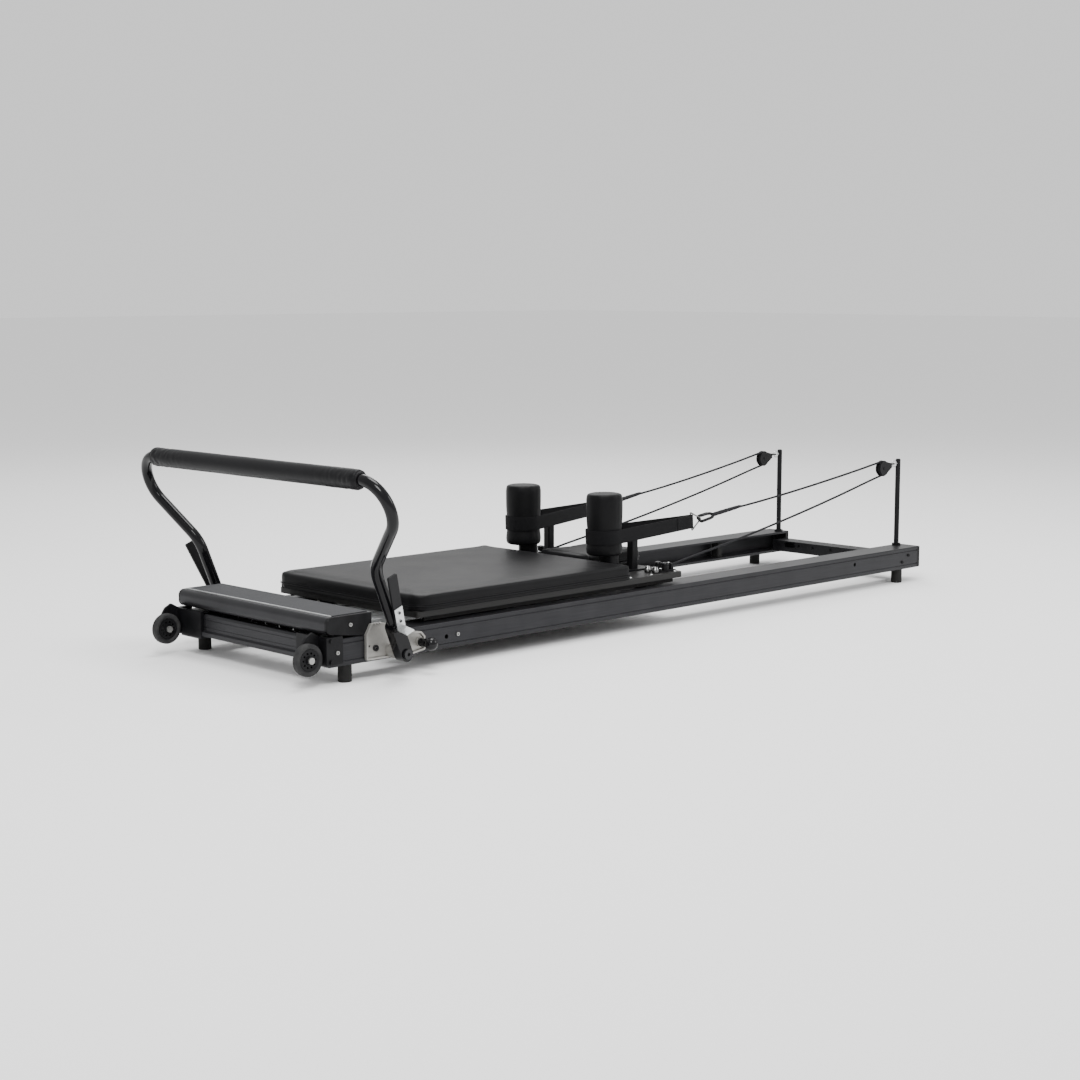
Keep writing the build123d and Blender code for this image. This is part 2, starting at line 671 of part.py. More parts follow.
def make_carriage_pad():
    """Padded top of the carriage, round at its foot corners."""
    with BuildPart() as pad:
        with BuildSketch(Plane.XY.offset(BASE_Z1)) as outline:
            with Locations(((PAD_X0 + PAD_X1) / 2, 0)):
                Rectangle(PAD_X1 - PAD_X0, 2 * PAD_HALF_Y)
            fillet(outline.vertices().group_by(Axis.X)[0], PAD_CORNER)
            fillet(outline.vertices().group_by(Axis.X)[-1], 12)
        extrude(amount=PAD_TOP_Z - BASE_Z1)
        fillet(pad.faces().sort_by(Axis.Z)[-1].edges(), 6)
    save(pad, "carriage_pad")


def make_roller_hangers():
    """Angle brackets under the base that carry the wheels and side rollers."""
    with BuildPart() as hangers:
        for side in SIDES.values():
            for x in TRACK_WHEEL_XS.values():
                with Locations((x, side * HANGER_Y, (BASE_Z0 + 56) / 2)):
                    Box(44, 6, BASE_Z0 - 56)
                with Locations((x + 28, side * (HANGER_Y - 22), BASE_Z0 - 3)):
                    Box(110, 50, 6)
                with Locations(across(x, side * HANGER_Y, TRACK_FLOOR_Z + TRACK_WHEEL_RADIUS)):
                    Cylinder(5.02, 20, mode=Mode.SUBTRACT)
                with Locations((x + SIDE_ROLLER_STEP, side * side_roller_y(), BASE_Z0 - 3)):
                    Cylinder(4.02, 8, mode=Mode.SUBTRACT)
    save(hangers, "roller_hangers")


def side_roller_y():
    """Distance of a side roller's axis from the middle: it runs against the rail's top lip."""
    return RAIL_OUTER_Y - RAIL_WIDTH - SIDE_ROLLER_RADIUS - 0.5


def make_roller_axles():
    """Axles of the track wheels and pins of the side rollers."""
    with BuildPart() as axles:
        for side in SIDES.values():
            for x in TRACK_WHEEL_XS.values():
                with Locations(across(x, side * 220, TRACK_FLOOR_Z + TRACK_WHEEL_RADIUS)):
                    Cylinder(5, 54)
                with Locations(across(x, side * 194, TRACK_FLOOR_Z + TRACK_WHEEL_RADIUS)):
                    Cylinder(8, 4)
                with Locations(across(x, side * 248.5, TRACK_FLOOR_Z + TRACK_WHEEL_RADIUS)):
                    Cylinder(8, 5)
                with Locations((x + SIDE_ROLLER_STEP, side * side_roller_y(), 103)):
                    Cylinder(4, 27)
                with Locations((x + SIDE_ROLLER_STEP, side * side_roller_y(), 90.5)):
                    Cylinder(7, 4)
    save(axles, "roller_axles")


def make_track_wheel(end_name, side_name, x, side):
    """Nylon wheel that rolls on the rail's lower flange."""
    with BuildPart() as wheel:
        Cylinder(TRACK_WHEEL_RADIUS, TRACK_WHEEL_WIDTH, rotation=(90, 0, 0))
        chamfer(wheel.edges(), 2)
        Cylinder(5 + RUNNING, TRACK_WHEEL_WIDTH + 2, rotation=(90, 0, 0), mode=Mode.SUBTRACT)
    wheel.part.position = (x, side * TRACK_WHEEL_Y, TRACK_FLOOR_Z + TRACK_WHEEL_RADIUS + 0.05)
    save(wheel, f"track_wheel_{end_name}_{side_name}")


def make_side_roller(end_name, side_name, x, side):
    """Roller that keeps the carriage centred between the rails."""
    with BuildPart() as roller:
        Cylinder(SIDE_ROLLER_RADIUS, 13)
        chamfer(roller.edges(), 1.5)
        Cylinder(4 + RUNNING, 20, mode=Mode.SUBTRACT)
    roller.part.position = (x + SIDE_ROLLER_STEP, side * side_roller_y(), 100)
    save(roller, f"side_roller_{end_name}_{side_name}")


def make_shoulder_rest(side_name, side):
    """Waisted upright pad, revolved."""
    half = (REST_TOP_Z - REST_BOTTOM_Z) / 2
    with BuildPart() as rest:
        with BuildSketch(Plane.XZ):
            with BuildLine():
                Line((0, -half), (REST_RADIUS - 8, -half))
                Spline((REST_RADIUS - 8, -half), (REST_RADIUS - 0.5, -half + 18), (REST_RADIUS - 3.5, -6),
                       (REST_RADIUS - 0.5, half - 24), (REST_RADIUS - 9, half))
                Line((REST_RADIUS - 9, half), (0, half))
                Line((0, half), (0, -half))
            make_face()
        revolve(axis=Axis.Z)
    rest.part.position = (REST_X, side * REST_Y, (REST_TOP_Z + REST_BOTTOM_Z) / 2)
    save(rest, f"shoulder_rest_{side_name}")


def make_rest_stands():
    """Necks under the shoulder rests and the square posts beside them."""
    with BuildPart() as stands:
        for side in SIDES.values():
            with Locations((NECK_X, side * REST_Y, (BASE_Z1 + REST_BOTTOM_Z) / 2)):
                Cylinder(NECK_RADIUS, REST_BOTTOM_Z - BASE_Z1)
            with Locations((NECK_X, side * REST_Y, BASE_Z1 + 2)):
                Box(64, 62, 4)
            with BuildSketch(Plane.XY.offset(BASE_Z1)):
                with Locations((POST_X, side * POST_Y)):
                    RectangleRounded(POST_SIZE, POST_SIZE, 3)
            extrude(amount=108)
            with Locations((POST_X - 4, side * POST_Y, BASE_Z1 + 2)):
                Box(64, 40, 4)
    save(stands, "rest_stands")


def make_headrest_frame():
    """Hinge plate, knuckles and ratchet rack under the headrest."""
    with BuildPart() as frame:
        with Locations((40, 0, BASE_Z1 + 1.5)):
            Box(160, 150, 3)
        for y in (-70, 70):
            with Locations((HEADREST_X0 - 1, y, BASE_Z1 + 4)):
                Box(20, 14, 8)
        with Locations(across(HEADREST_X0, 0, BASE_Z1 + 9)):
            Cylinder(3, 156)
        with Locations([(x, 0, BASE_Z1 + 5) for x in (60, 74, 88)]):
            Box(4, 60, 5)
    save(frame, "headrest_frame")


def make_headrest():
    """Head cushion that hinges up from its shoulder side."""
    with BuildPart() as rest:
        with BuildSketch(Plane.XY.offset(HEADREST_Z0)) as outline:
            with Locations(((HEADREST_X0 + HEADREST_X1) / 2, 0)):
                Rectangle(HEADREST_X1 - HEADREST_X0, 2 * HEADREST_HALF_Y)
            fillet(outline.vertices().group_by(Axis.X)[-1], 30)
            fillet(outline.vertices().group_by(Axis.X)[0], 8)
        extrude(amount=HEADREST_Z1 - HEADREST_Z0)
        fillet(rest.faces().sort_by(Axis.Z)[-1].edges(), 5)
        with Locations(across(HEADREST_X0, 0, BASE_Z1 + 9)):
            Cylinder(3.6, 2 * HEADREST_HALF_Y + 10, mode=Mode.SUBTRACT)
    save(rest, "headrest")


def make_rope_cleats():
    """Cam cleats on the base that lock the lower ends of the ropes."""
    with BuildPart() as cleats:
        for side in SIDES.values():
            with Locations((CLEAT_X, side * CLEAT_Y, BASE_Z1 + 1.5)):
                Box(CLEAT_LENGTH, 40, 3)
            with Locations([(CLEAT_X - 4, side * CLEAT_Y + y, BASE_Z1 + 10) for y in (-12.5, 12.5)]):
                Cylinder(9, 16)
            with Locations((CLEAT_X + 24, side * CLEAT_Y, BASE_Z1 + 10)):
                Box(8, 26, 18)
                Cylinder(ROPE_RADIUS + 1, 12, rotation=(0, 90, 0), mode=Mode.SUBTRACT)
            with Locations([(CLEAT_X - 24, side * CLEAT_Y + y, BASE_Z1 + 3.5) for y in (-13, 0, 13)]):
                Cylinder(4.5, 4)
    save(cleats, "rope_cleats")


def make_spring_anchor():
    """Cross bar under the base that the springs pull on."""
    with BuildPart() as anchor:
        with Locations((ANCHOR_X + 8, 0, (BASE_Z0 + 72) / 2)):
            Box(8, 280, BASE_Z0 - 72)
        with Locations((ANCHOR_X + 22, 0, BASE_Z0 - 2.5)):
            Box(36, 280, 5)
        with Locations([Location((ANCHOR_X + 2, y, SPRING_Z), (0, 90, 0)) for y in spring_ys()]):
            Cylinder(4, 4)
    save(anchor, "spring_anchor")


def make_springs():
    """Outer shape of the five extension springs."""
    start = SPRING_BAR_X + PEG_LENGTH + 4
    length = ANCHOR_X - start - 1
    with BuildPart() as springs:
        with Locations([Location((start + length / 2, y, SPRING_Z), (0, 90, 0)) for y in spring_ys()]):
            Cylinder(SPRING_RADIUS, length)
            Cylinder(SPRING_RADIUS - SPRING_WALL, length + 2, mode=Mode.SUBTRACT)
    save(springs, "springs")


# ---------------------------------------------------------------- straps and ropes
def strap_plane(side):
    """Plane of a strap loop: X from the shoulder rest towards the ring, rising gently."""
    run = Vector(RING_X - REST_X, side * (RING_Y - REST_Y), RING_ZS[side] - STRAP_ZS[side])
    across_dir = Vector(0, 0, 1).cross(run)
    normal = run.cross(across_dir)
    return Plane(origin=(REST_X, side * REST_Y, STRAP_ZS[side]), x_dir=run, z_dir=normal)


def strap_length(side):
    """From the shoulder rest's axis to the ring's bar."""
    return Vector(RING_X - REST_X, RING_Y - REST_Y, RING_ZS[side] - STRAP_ZS[side]).length


def make_straps():
    """Webbing loops round the shoulder rests."""
    inner = REST_RADIUS + 2.6
    with BuildPart() as straps:
        for side in SIDES.values():
            loop_plane = strap_plane(side).offset(-STRAP_WIDTH / 2)
            for radius, mode in ((inner + STRAP_THICKNESS, Mode.ADD), (inner, Mode.SUBTRACT)):
                tip = radius - inner + 3.2
                with BuildSketch(loop_plane) as loop:
                    with BuildLine():
                        CenterArc((0, 0), radius, 0, 360)
                        CenterArc((strap_length(side), 0), tip, 0, 360)
                    make_hull()
                extrude(amount=STRAP_WIDTH, mode=mode)
    save(straps, "straps")


def make_strap_rings():
    """Triangular wire rings at the ends of the straps."""
    with BuildPart() as rings:
        for side in SIDES.values():
            plane = ring_plane(side)
            with BuildLine(plane) as route:
                FilletPolyline((0, -26), (0, 26), (39, 0), radius=[3, 3, 6.5], close=True)
            with BuildSketch(Plane(origin=route.wire() @ 0, z_dir=route.wire() % 0)):
                Circle(1.6)
            sweep()
    save(rings, "strap_rings")


def ring_centre(side):
    """Middle of a ring's bar, inside the strap's end."""
    return Vector(RING_X, side * RING_Y, RING_ZS[side])


def ring_plane(side):
    """Upright plane through the ring's bar, X along the rope's upper run."""
    run = upper_run(side)
    return Plane(origin=ring_centre(side), x_dir=run, z_dir=run.cross(Vector(0, 0, 1)))


def upper_run(side):
    """Direction of the rope from the ring to the top of the sheave."""
    top = Vector(SHEAVE_X, side * SHEAVE_Y, SHEAVE_Z + ROPE_TURN_RADIUS)
    return (top - ring_centre(side)).normalized()


def make_snap_hooks():
    """Snap hooks between the rings and the ropes' spliced ends."""
    with BuildPart() as hooks:
        for side in SIDES.values():
            run = upper_run(side)
            middle = ring_centre(side) + run * HOOK_OFFSET
            turned = Plane(origin=middle, x_dir=run, z_dir=run.cross(Vector(0, 0.71, 0.71)))
            with BuildLine(turned) as route:
                FilletPolyline((-28, -10), (28, -7), (28, 7), (-28, 10), radius=6, close=True)
            with BuildSketch(Plane(origin=route.wire() @ 0, z_dir=route.wire() % 0)):
                Circle(HOOK_WIRE_RADIUS)
            sweep()
    save(hooks, "snap_hooks")


def rope_points(side):
    """Corners of a rope's route: cleat, under and round the sheave, back to the snap hook."""
    start = (CLEAT_X + 30, side * CLEAT_Y, BASE_Z1 + 12)
    end = ring_centre(side) + upper_run(side) * 88
    corner = ROPE_TURN_RADIUS / cos(pi / 6)
    points = [start]
    for angle in (-50, 10, 70):
        x = SHEAVE_X + corner * cos(radians(angle))
        z = SHEAVE_Z + corner * sin(radians(angle))
        points.append((x, side * SHEAVE_Y, z))
    points.append((end.X, end.Y, end.Z))
    return points


def make_rope(side_name, side):
    """Rope tube: straight runs joined by arcs of the sheave's size."""
    with BuildPart() as rope:
        with BuildLine() as route:
            FilletPolyline(*rope_points(side), radius=ROPE_TURN_RADIUS - 0.5)
        with BuildSketch(Plane(origin=route.wire() @ 0, z_dir=route.wire() % 0)):
            Circle(ROPE_RADIUS)
        sweep()
    length = route.wire().length
    print(f"rope_{side_name}: length {length:.1f}, volume ratio {rope.part.volume / (length * pi * 9):.4f}")
    save(rope, f"rope_{side_name}")


# ---------------------------------------------------------------- build everything
make_rail_end_caps()
make_front_cross_member()
make_head_crossbar()
make_corner_brackets()
make_carriage_stops()
make_feet()
make_platform_beam()
make_platform_end_caps()
make_platform_mat()
make_spring_bar()
make_spring_pegs()
make_risers()
make_eye_bolts()
make_frame_bolts()
make_footbar_plates()
make_carrier_bolts()
make_footbar()
make_footbar_grip()
make_lever_blocks()
make_carriage_base()
make_carriage_pad()
make_roller_hangers()
make_roller_axles()
make_rest_stands()
make_headrest_frame()
make_headrest()
make_rope_cleats()
make_spring_anchor()
make_springs()
make_straps()
make_strap_rings()
make_snap_hooks()
for side_label, side_sign in SIDES.items():
    make_rail(f"rail_{side_label}", side_sign)
    make_transport_wheel(side_label, side_sign)
    make_pulley_block(side_label, side_sign)
    make_sheave(side_label, side_sign)
    make_pull_pin(side_label, side_sign)
    make_release_lever(side_label, side_sign)
    make_lever_leaf(side_label, side_sign)
    make_shoulder_rest(side_label, side_sign)
    make_rope(side_label, side_sign)
    for end_label, wheel_x in TRACK_WHEEL_XS.items():
        make_track_wheel(end_label, side_label, wheel_x, side_sign)
        make_side_roller(end_label, side_label, wheel_x, side_sign)
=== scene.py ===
"""Looks of a pilates reformer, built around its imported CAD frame.

The frame gives every rigid part.  This script dresses those parts, replaces the soft ones (bed pad,
shoulder rests, headrest, grip, straps, ropes, springs) with detailed pieces, and sets camera and light.
All lengths are in metres, in the frame's own axes.
"""
import logging
import math
import random
from collections.abc import Callable, Sequence
from dataclasses import dataclass
from enum import Enum

import bmesh
import bpy
from mathutils import Matrix, Vector, noise
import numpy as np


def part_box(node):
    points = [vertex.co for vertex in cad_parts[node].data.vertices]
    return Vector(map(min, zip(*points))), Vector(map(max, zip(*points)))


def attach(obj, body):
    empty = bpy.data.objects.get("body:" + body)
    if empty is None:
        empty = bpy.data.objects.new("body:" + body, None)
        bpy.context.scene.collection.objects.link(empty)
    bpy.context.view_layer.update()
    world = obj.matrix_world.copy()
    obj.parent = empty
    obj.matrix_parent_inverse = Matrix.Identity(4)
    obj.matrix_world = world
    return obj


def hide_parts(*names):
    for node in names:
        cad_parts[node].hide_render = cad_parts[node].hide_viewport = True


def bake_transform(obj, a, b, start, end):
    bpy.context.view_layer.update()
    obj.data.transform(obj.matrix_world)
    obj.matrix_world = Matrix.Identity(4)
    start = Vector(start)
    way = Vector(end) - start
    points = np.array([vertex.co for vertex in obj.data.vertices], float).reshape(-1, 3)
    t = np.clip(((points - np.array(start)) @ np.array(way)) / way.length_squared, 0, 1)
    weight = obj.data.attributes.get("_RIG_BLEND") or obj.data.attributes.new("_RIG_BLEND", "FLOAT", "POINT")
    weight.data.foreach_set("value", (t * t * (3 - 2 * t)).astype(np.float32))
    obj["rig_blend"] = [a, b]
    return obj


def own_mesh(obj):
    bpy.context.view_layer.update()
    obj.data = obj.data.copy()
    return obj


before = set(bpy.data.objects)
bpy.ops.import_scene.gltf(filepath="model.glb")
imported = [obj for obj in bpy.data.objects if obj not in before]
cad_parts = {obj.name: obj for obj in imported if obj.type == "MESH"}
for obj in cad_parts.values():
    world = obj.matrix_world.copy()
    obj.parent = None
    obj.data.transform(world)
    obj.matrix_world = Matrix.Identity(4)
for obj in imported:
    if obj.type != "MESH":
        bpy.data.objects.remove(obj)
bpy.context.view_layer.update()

LOG = logging.getLogger("reformer")
SIDES = {"left": -1, "right": 1}
UPWARD = Vector((0.0, 0.0, 1.0))
ACROSS = Vector((0.0, 1.0, 0.0))
Colour = tuple[float, float, float]


# ------------------------------------------------------------------ shader graph
class Signal:
    """A node's output socket that does arithmetic by adding Math nodes."""

    def __init__(self, graph: "Graph", socket: bpy.types.NodeSocket) -> None:
        """Keep the graph and the socket."""
        self.graph = graph
        self.socket = socket

    def math(self, operation: str, *others: "Signal | float") -> "Signal":
        """Add one Math node.

        Args:
            operation: the Math node's operation.
            others: further operands.

        Returns:
            The node's result.
        """
        values = dict(enumerate((self, *others)))
        return self.graph.node("ShaderNodeMath", {"operation": operation}, values)

    def __add__(self, other: "Signal | float") -> "Signal":
        """Sum."""
        return self.math("ADD", other)

    __radd__ = __add__

    def __mul__(self, other: "Signal | float") -> "Signal":
        """Product."""
        return self.math("MULTIPLY", other)

    __rmul__ = __mul__

    def __sub__(self, other: "Signal | float") -> "Signal":
        """Difference."""
        return self.math("SUBTRACT", other)

    def __rsub__(self, other: float) -> "Signal":
        """Reflected difference, as in 1 - mask."""
        return self.math("MULTIPLY", -1.0) + other

    def sine(self) -> "Signal":
        """Sine of the signal in radians."""
        return self.math("SINE")

    def size(self) -> "Signal":
        """Absolute value."""
        return self.math("ABSOLUTE")

    def clamp(self) -> "Signal":
        """The signal held between 0 and 1."""
        return self.math("MAXIMUM", 0.0).math("MINIMUM", 1.0)


class Graph:
    """The node tree of one material."""

    def __init__(self, name: str) -> None:
        """Start a material with a Principled shader."""
        self.material = bpy.data.materials.new(name)
        self.material.use_nodes = True
        self.tree = self.material.node_tree
        self.shader = self.tree.nodes["Principled BSDF"]

    def node(self, kind: str, settings: dict[str, object] | None = None,
             inputs: dict[int | str, object] | None = None, output: int | str = 0) -> Signal:
        """Add a node of any kind.

        Args:
            kind: the node's type.
            settings: its properties, with a ramp's stops under "stops".
            inputs: values or signals by socket name or number.
            output: which output to return.

        Returns:
            The chosen output.
        """
        made = self.tree.nodes.new(kind)
        for key, value in (settings or {}).items():
            if key == "stops":
                self.set_stops(made, value)
            else:
                setattr(made, key, value)
        for key, value in (inputs or {}).items():
            if isinstance(value, Signal):
                self.tree.links.new(value.socket, made.inputs[key])
            else:
                made.inputs[key].default_value = value
        return Signal(self, made.outputs[output])

    @staticmethod
    def set_stops(ramp: bpy.types.Node, stops: Sequence[tuple[float, float]]) -> None:
        """Give a colour ramp its grey stops."""
        elements = ramp.color_ramp.elements
        while len(elements) < len(stops):
            elements.new(1.0)
        for element, (place, level) in zip(elements, stops):
            element.position = place
            element.color = (level, level, level, 1.0)

    def place(self, scale: Sequence[float] = (1.0, 1.0, 1.0), turn: float = 0.0) -> Signal:
        """Object coordinates, stretched along each axis and turned about Z."""
        where = self.node("ShaderNodeTexCoord", output="Object")
        inputs = {"Vector": where, "Scale": tuple(scale), "Rotation": (0.0, 0.0, turn)}
        return self.node("ShaderNodeMapping", {}, inputs)

    def noise(self, scale: float, detail: float = 3.0, where: Signal | None = None) -> Signal:
        """Fractal noise between 0 and 1."""
        inputs = {"Vector": where or self.place(), "Scale": scale, "Detail": detail}
        return self.node("ShaderNodeTexNoise", {}, inputs)

    def cells(self, scale: float, where: Signal | None = None) -> Signal:
        """Distance to the nearest of scattered points."""
        settings = {"feature": "SMOOTH_F1"}
        inputs = {"Vector": where or self.place(), "Scale": scale, "Smoothness": 0.35}
        return self.node("ShaderNodeTexVoronoi", settings, inputs)

    def ramp(self, value: Signal, *stops: tuple[float, float]) -> Signal:
        """Map a value through grey stops."""
        return self.node("ShaderNodeValToRGB", {"stops": stops}, {0: value})

    def axes(self, where: Signal) -> tuple[Signal, Signal, Signal]:
        """The three components of a vector."""
        parts = self.tree.nodes.new("ShaderNodeSeparateXYZ")
        self.tree.links.new(where.socket, parts.inputs[0])
        return tuple(Signal(self, out) for out in parts.outputs)

    def blend(self, factor: Signal, low: Colour, high: Colour) -> Signal:
        """Mix two colours."""
        inputs = {0: factor, 6: (*low, 1.0), 7: (*high, 1.0)}
        return self.node("ShaderNodeMix", {"data_type": "RGBA"}, inputs, 2)

    def bump(self, height: Signal, depth: float, strength: float = 1.0) -> Signal:
        """Turn a height into a normal; depth is in metres."""
        return self.node("ShaderNodeBump", {}, {"Height": height, "Distance": depth, "Strength": strength})


class Grain(Enum):
    """Surface patterns that a finish can have."""

    BRUSHED = "brushed"
    CAST = "cast"
    COATED = "coated"
    MOULDED = "moulded"
    LEATHER = "leather"
    WEAVE = "weave"
    BRAID = "braid"
    RIBBED = "ribbed"
    BOARD = "board"
    RUBBER = "rubber"
    ALONG = "along"


@dataclass(frozen=True)
class Finish:
    """One material: two tones, a roughness band and a grain."""

    name: str
    slot: str
    grain: Grain
    low: Colour
    high: Colour
    roughness: float
    spread: float
    metallic: float = 0.0
    coat: float = 0.0
    specular: float = 0.5
    sheen: float = 0.0
    depth: float = 0.0001

    def pattern(self, graph: Graph) -> tuple[Signal, Signal]:
        """Height and tone of the grain, both about 0 to 1.

        Args:
            graph: the material's node tree.

        Returns:
            The height that drives the bump and the tone that mixes the two colours.
        """
        if self.grain is Grain.BRUSHED:
            streaks = graph.noise(1.0, 4.0, graph.place((9.0, 900.0, 900.0)))
            return streaks, streaks * 0.6 + graph.noise(14.0) * 0.4
        if self.grain is Grain.CAST:
            sand = graph.noise(900.0, 5.0)
            return sand + graph.noise(160.0) * 0.6, sand * 0.5 + graph.noise(35.0, 5.0) * 0.5
        if self.grain is Grain.COATED:
            peel = graph.noise(520.0, 2.0)
            return peel, graph.noise(22.0, 6.0)
        if self.grain is Grain.MOULDED:
            return graph.cells(1300.0) + graph.noise(2400.0) * 0.5, graph.noise(40.0, 5.0)
        if self.grain is Grain.LEATHER:
            pebbles = graph.cells(620.0, graph.place((1.0, 1.12, 1.0), 0.6))
            return pebbles + graph.noise(190.0, 4.0) * 0.45, graph.noise(9.0, 5.0) * 0.6 + pebbles * 0.4
        if self.grain is Grain.BOARD:
            plies = graph.noise(1.0, 5.0, graph.place((14.0, 40.0, 900.0)))
            return plies, plies
        if self.grain is Grain.RUBBER:
            return graph.noise(1100.0, 3.0), graph.noise(60.0, 7.0)
        if self.grain is Grain.ALONG:
            far = graph.axes(graph.place())[0] - 0.5
            return graph.noise(700.0, 3.0), far.clamp() * 4.0
        if self.grain is Grain.RIBBED:
            along = graph.axes(graph.place())[0]
            ribs = (along * (math.tau / 0.0034)).sine() * 0.5 + 0.5
            return ribs + graph.noise(1500.0, 4.0) * 0.7, graph.noise(700.0, 6.0)
        where = graph.node("ShaderNodeUVMap", {"uv_map": "UVMap"})
        u, v, _ = graph.axes(where)
        if self.grain is Grain.WEAVE:
            warp = (u * (math.tau / 0.0021)).sine()
            weft = (v * (math.tau / 0.0017) + warp * 1.3).sine()
            thread = (warp * weft) * 0.5 + 0.5
            return thread, thread * 0.7 + graph.noise(90.0, 5.0) * 0.3
        left = (u * (math.tau * 4.0) + v * (math.tau / 0.0066)).sine()
        right = (u * (math.tau * 4.0) - v * (math.tau / 0.0066)).sine()
        strands = (left.size().math("MAXIMUM", right.size()))
        return strands, strands * 0.8 + graph.noise(200.0) * 0.2

    def build(self) -> bpy.types.Material:
        """Make the material."""
        graph = Graph(self.name)
        height, tone = self.pattern(graph)
        smudge = graph.noise(7.0, 6.0)
        shader = graph.shader
        links = graph.tree.links
        tone_mask = graph.ramp(tone, (0.30, 0.0), (0.72, 1.0))
        rough = (smudge * 0.5 + tone * 0.5 - 0.5) * (2.0 * self.spread) + self.roughness
        links.new(graph.blend(tone_mask, self.low, self.high).socket, shader.inputs["Base Color"])
        links.new(rough.clamp().socket, shader.inputs["Roughness"])
        links.new(graph.bump(height, self.depth).socket, shader.inputs["Normal"])
        shader.inputs["Metallic"].default_value = self.metallic
        shader.inputs["Coat Weight"].default_value = self.coat
        shader.inputs["Coat Roughness"].default_value = 0.08
        shader.inputs["Specular IOR Level"].default_value = self.specular
        shader.inputs["Sheen Weight"].default_value = self.sheen
        return graph.material


FINISHES = {finish.name: finish for finish in (
    Finish("charcoal_anodised", "dark_rail", Grain.BRUSHED, (0.015, 0.015, 0.0165), (0.031, 0.031, 0.034),
           0.38, 0.10, 0.6, specular=0.25, depth=0.00003),
    Finish("powder_black", "black_steel", Grain.COATED, (0.004, 0.004, 0.0045), (0.008, 0.008, 0.009),
           0.40, 0.12, specular=0.13, depth=0.00008),
    Finish("gloss_black", "gloss_tube", Grain.COATED, (0.002, 0.002, 0.0025), (0.005, 0.005, 0.006),
           0.18, 0.05, coat=0.22, specular=0.10, depth=0.00002),
    Finish("cast_nickel", "nickel_plate", Grain.CAST, (0.24, 0.235, 0.22), (0.38, 0.37, 0.35),
           0.42, 0.12, 0.6, specular=0.4, depth=0.00012),
    Finish("zinc_steel", "bright_steel", Grain.BRUSHED, (0.44, 0.45, 0.45), (0.66, 0.67, 0.67),
           0.30, 0.12, 0.9, depth=0.00003),
    Finish("dark_chrome", "bright_steel", Grain.BRUSHED, (0.10, 0.10, 0.10), (0.26, 0.26, 0.26),
           0.20, 0.08, 1.0, depth=0.00001),
    Finish("blued_steel", "black_steel", Grain.CAST, (0.008, 0.008, 0.009), (0.024, 0.024, 0.026),
           0.32, 0.10, 0.4, specular=0.4, depth=0.00004),
    Finish("rail_fasteners", "bright_steel", Grain.ALONG, (0.30, 0.30, 0.29), (0.012, 0.012, 0.013),
           0.34, 0.10, 0.7, depth=0.00004),
    Finish("moulded_black", "black_plastic", Grain.MOULDED, (0.004, 0.004, 0.0045), (0.009, 0.009, 0.010),
           0.46, 0.12, specular=0.14, depth=0.00006),
    Finish("polished_black", "gloss_knob", Grain.COATED, (0.002, 0.002, 0.0025), (0.005, 0.005, 0.006),
           0.20, 0.05, coat=0.2, specular=0.14, depth=0.00001),
    Finish("foot_rubber", "black_rubber", Grain.RUBBER, (0.006, 0.006, 0.006), (0.014, 0.0135, 0.013),
           0.72, 0.14, specular=0.2, depth=0.00012),
    Finish("tyre_grey", "grey_tyre", Grain.RUBBER, (0.014, 0.014, 0.015), (0.034, 0.034, 0.034),
           0.66, 0.14, specular=0.14, depth=0.00014),
    Finish("grip_mat", "grey_mat", Grain.RIBBED, (0.022, 0.0225, 0.0245), (0.050, 0.051, 0.054),
           0.74, 0.10, specular=0.2, depth=0.00030),
    Finish("nylon_white", "white_nylon", Grain.MOULDED, (0.50, 0.50, 0.47), (0.68, 0.68, 0.65),
           0.45, 0.10, depth=0.00004),
    Finish("stained_board", "birch_board", Grain.BOARD, (0.004, 0.004, 0.004), (0.012, 0.0115, 0.011),
           0.48, 0.12, coat=0.1, specular=0.2, depth=0.00010),
    Finish("black_vinyl", "black_vinyl", Grain.LEATHER, (0.003, 0.003, 0.0033), (0.007, 0.007, 0.0076),
           0.44, 0.10, sheen=0.01, specular=0.09, depth=0.00014),
    Finish("sleeve_vinyl", "black_vinyl", Grain.LEATHER, (0.003, 0.003, 0.0035), (0.007, 0.007, 0.008),
           0.44, 0.10, specular=0.13, depth=0.00012),
    Finish("webbing_black", "black_webbing", Grain.WEAVE, (0.002, 0.002, 0.0024), (0.009, 0.009, 0.010),
           0.74, 0.12, sheen=0.02, specular=0.10, depth=0.00040),
    Finish("braided_black", "dark_rope", Grain.BRAID, (0.003, 0.003, 0.0035), (0.016, 0.016, 0.018),
           0.70, 0.12, sheen=0.02, specular=0.12, depth=0.00060),
    Finish("seam_thread", "black_vinyl", Grain.COATED, (0.010, 0.010, 0.011), (0.022, 0.022, 0.024),
           0.62, 0.10, specular=0.25, depth=0.00004),
)}

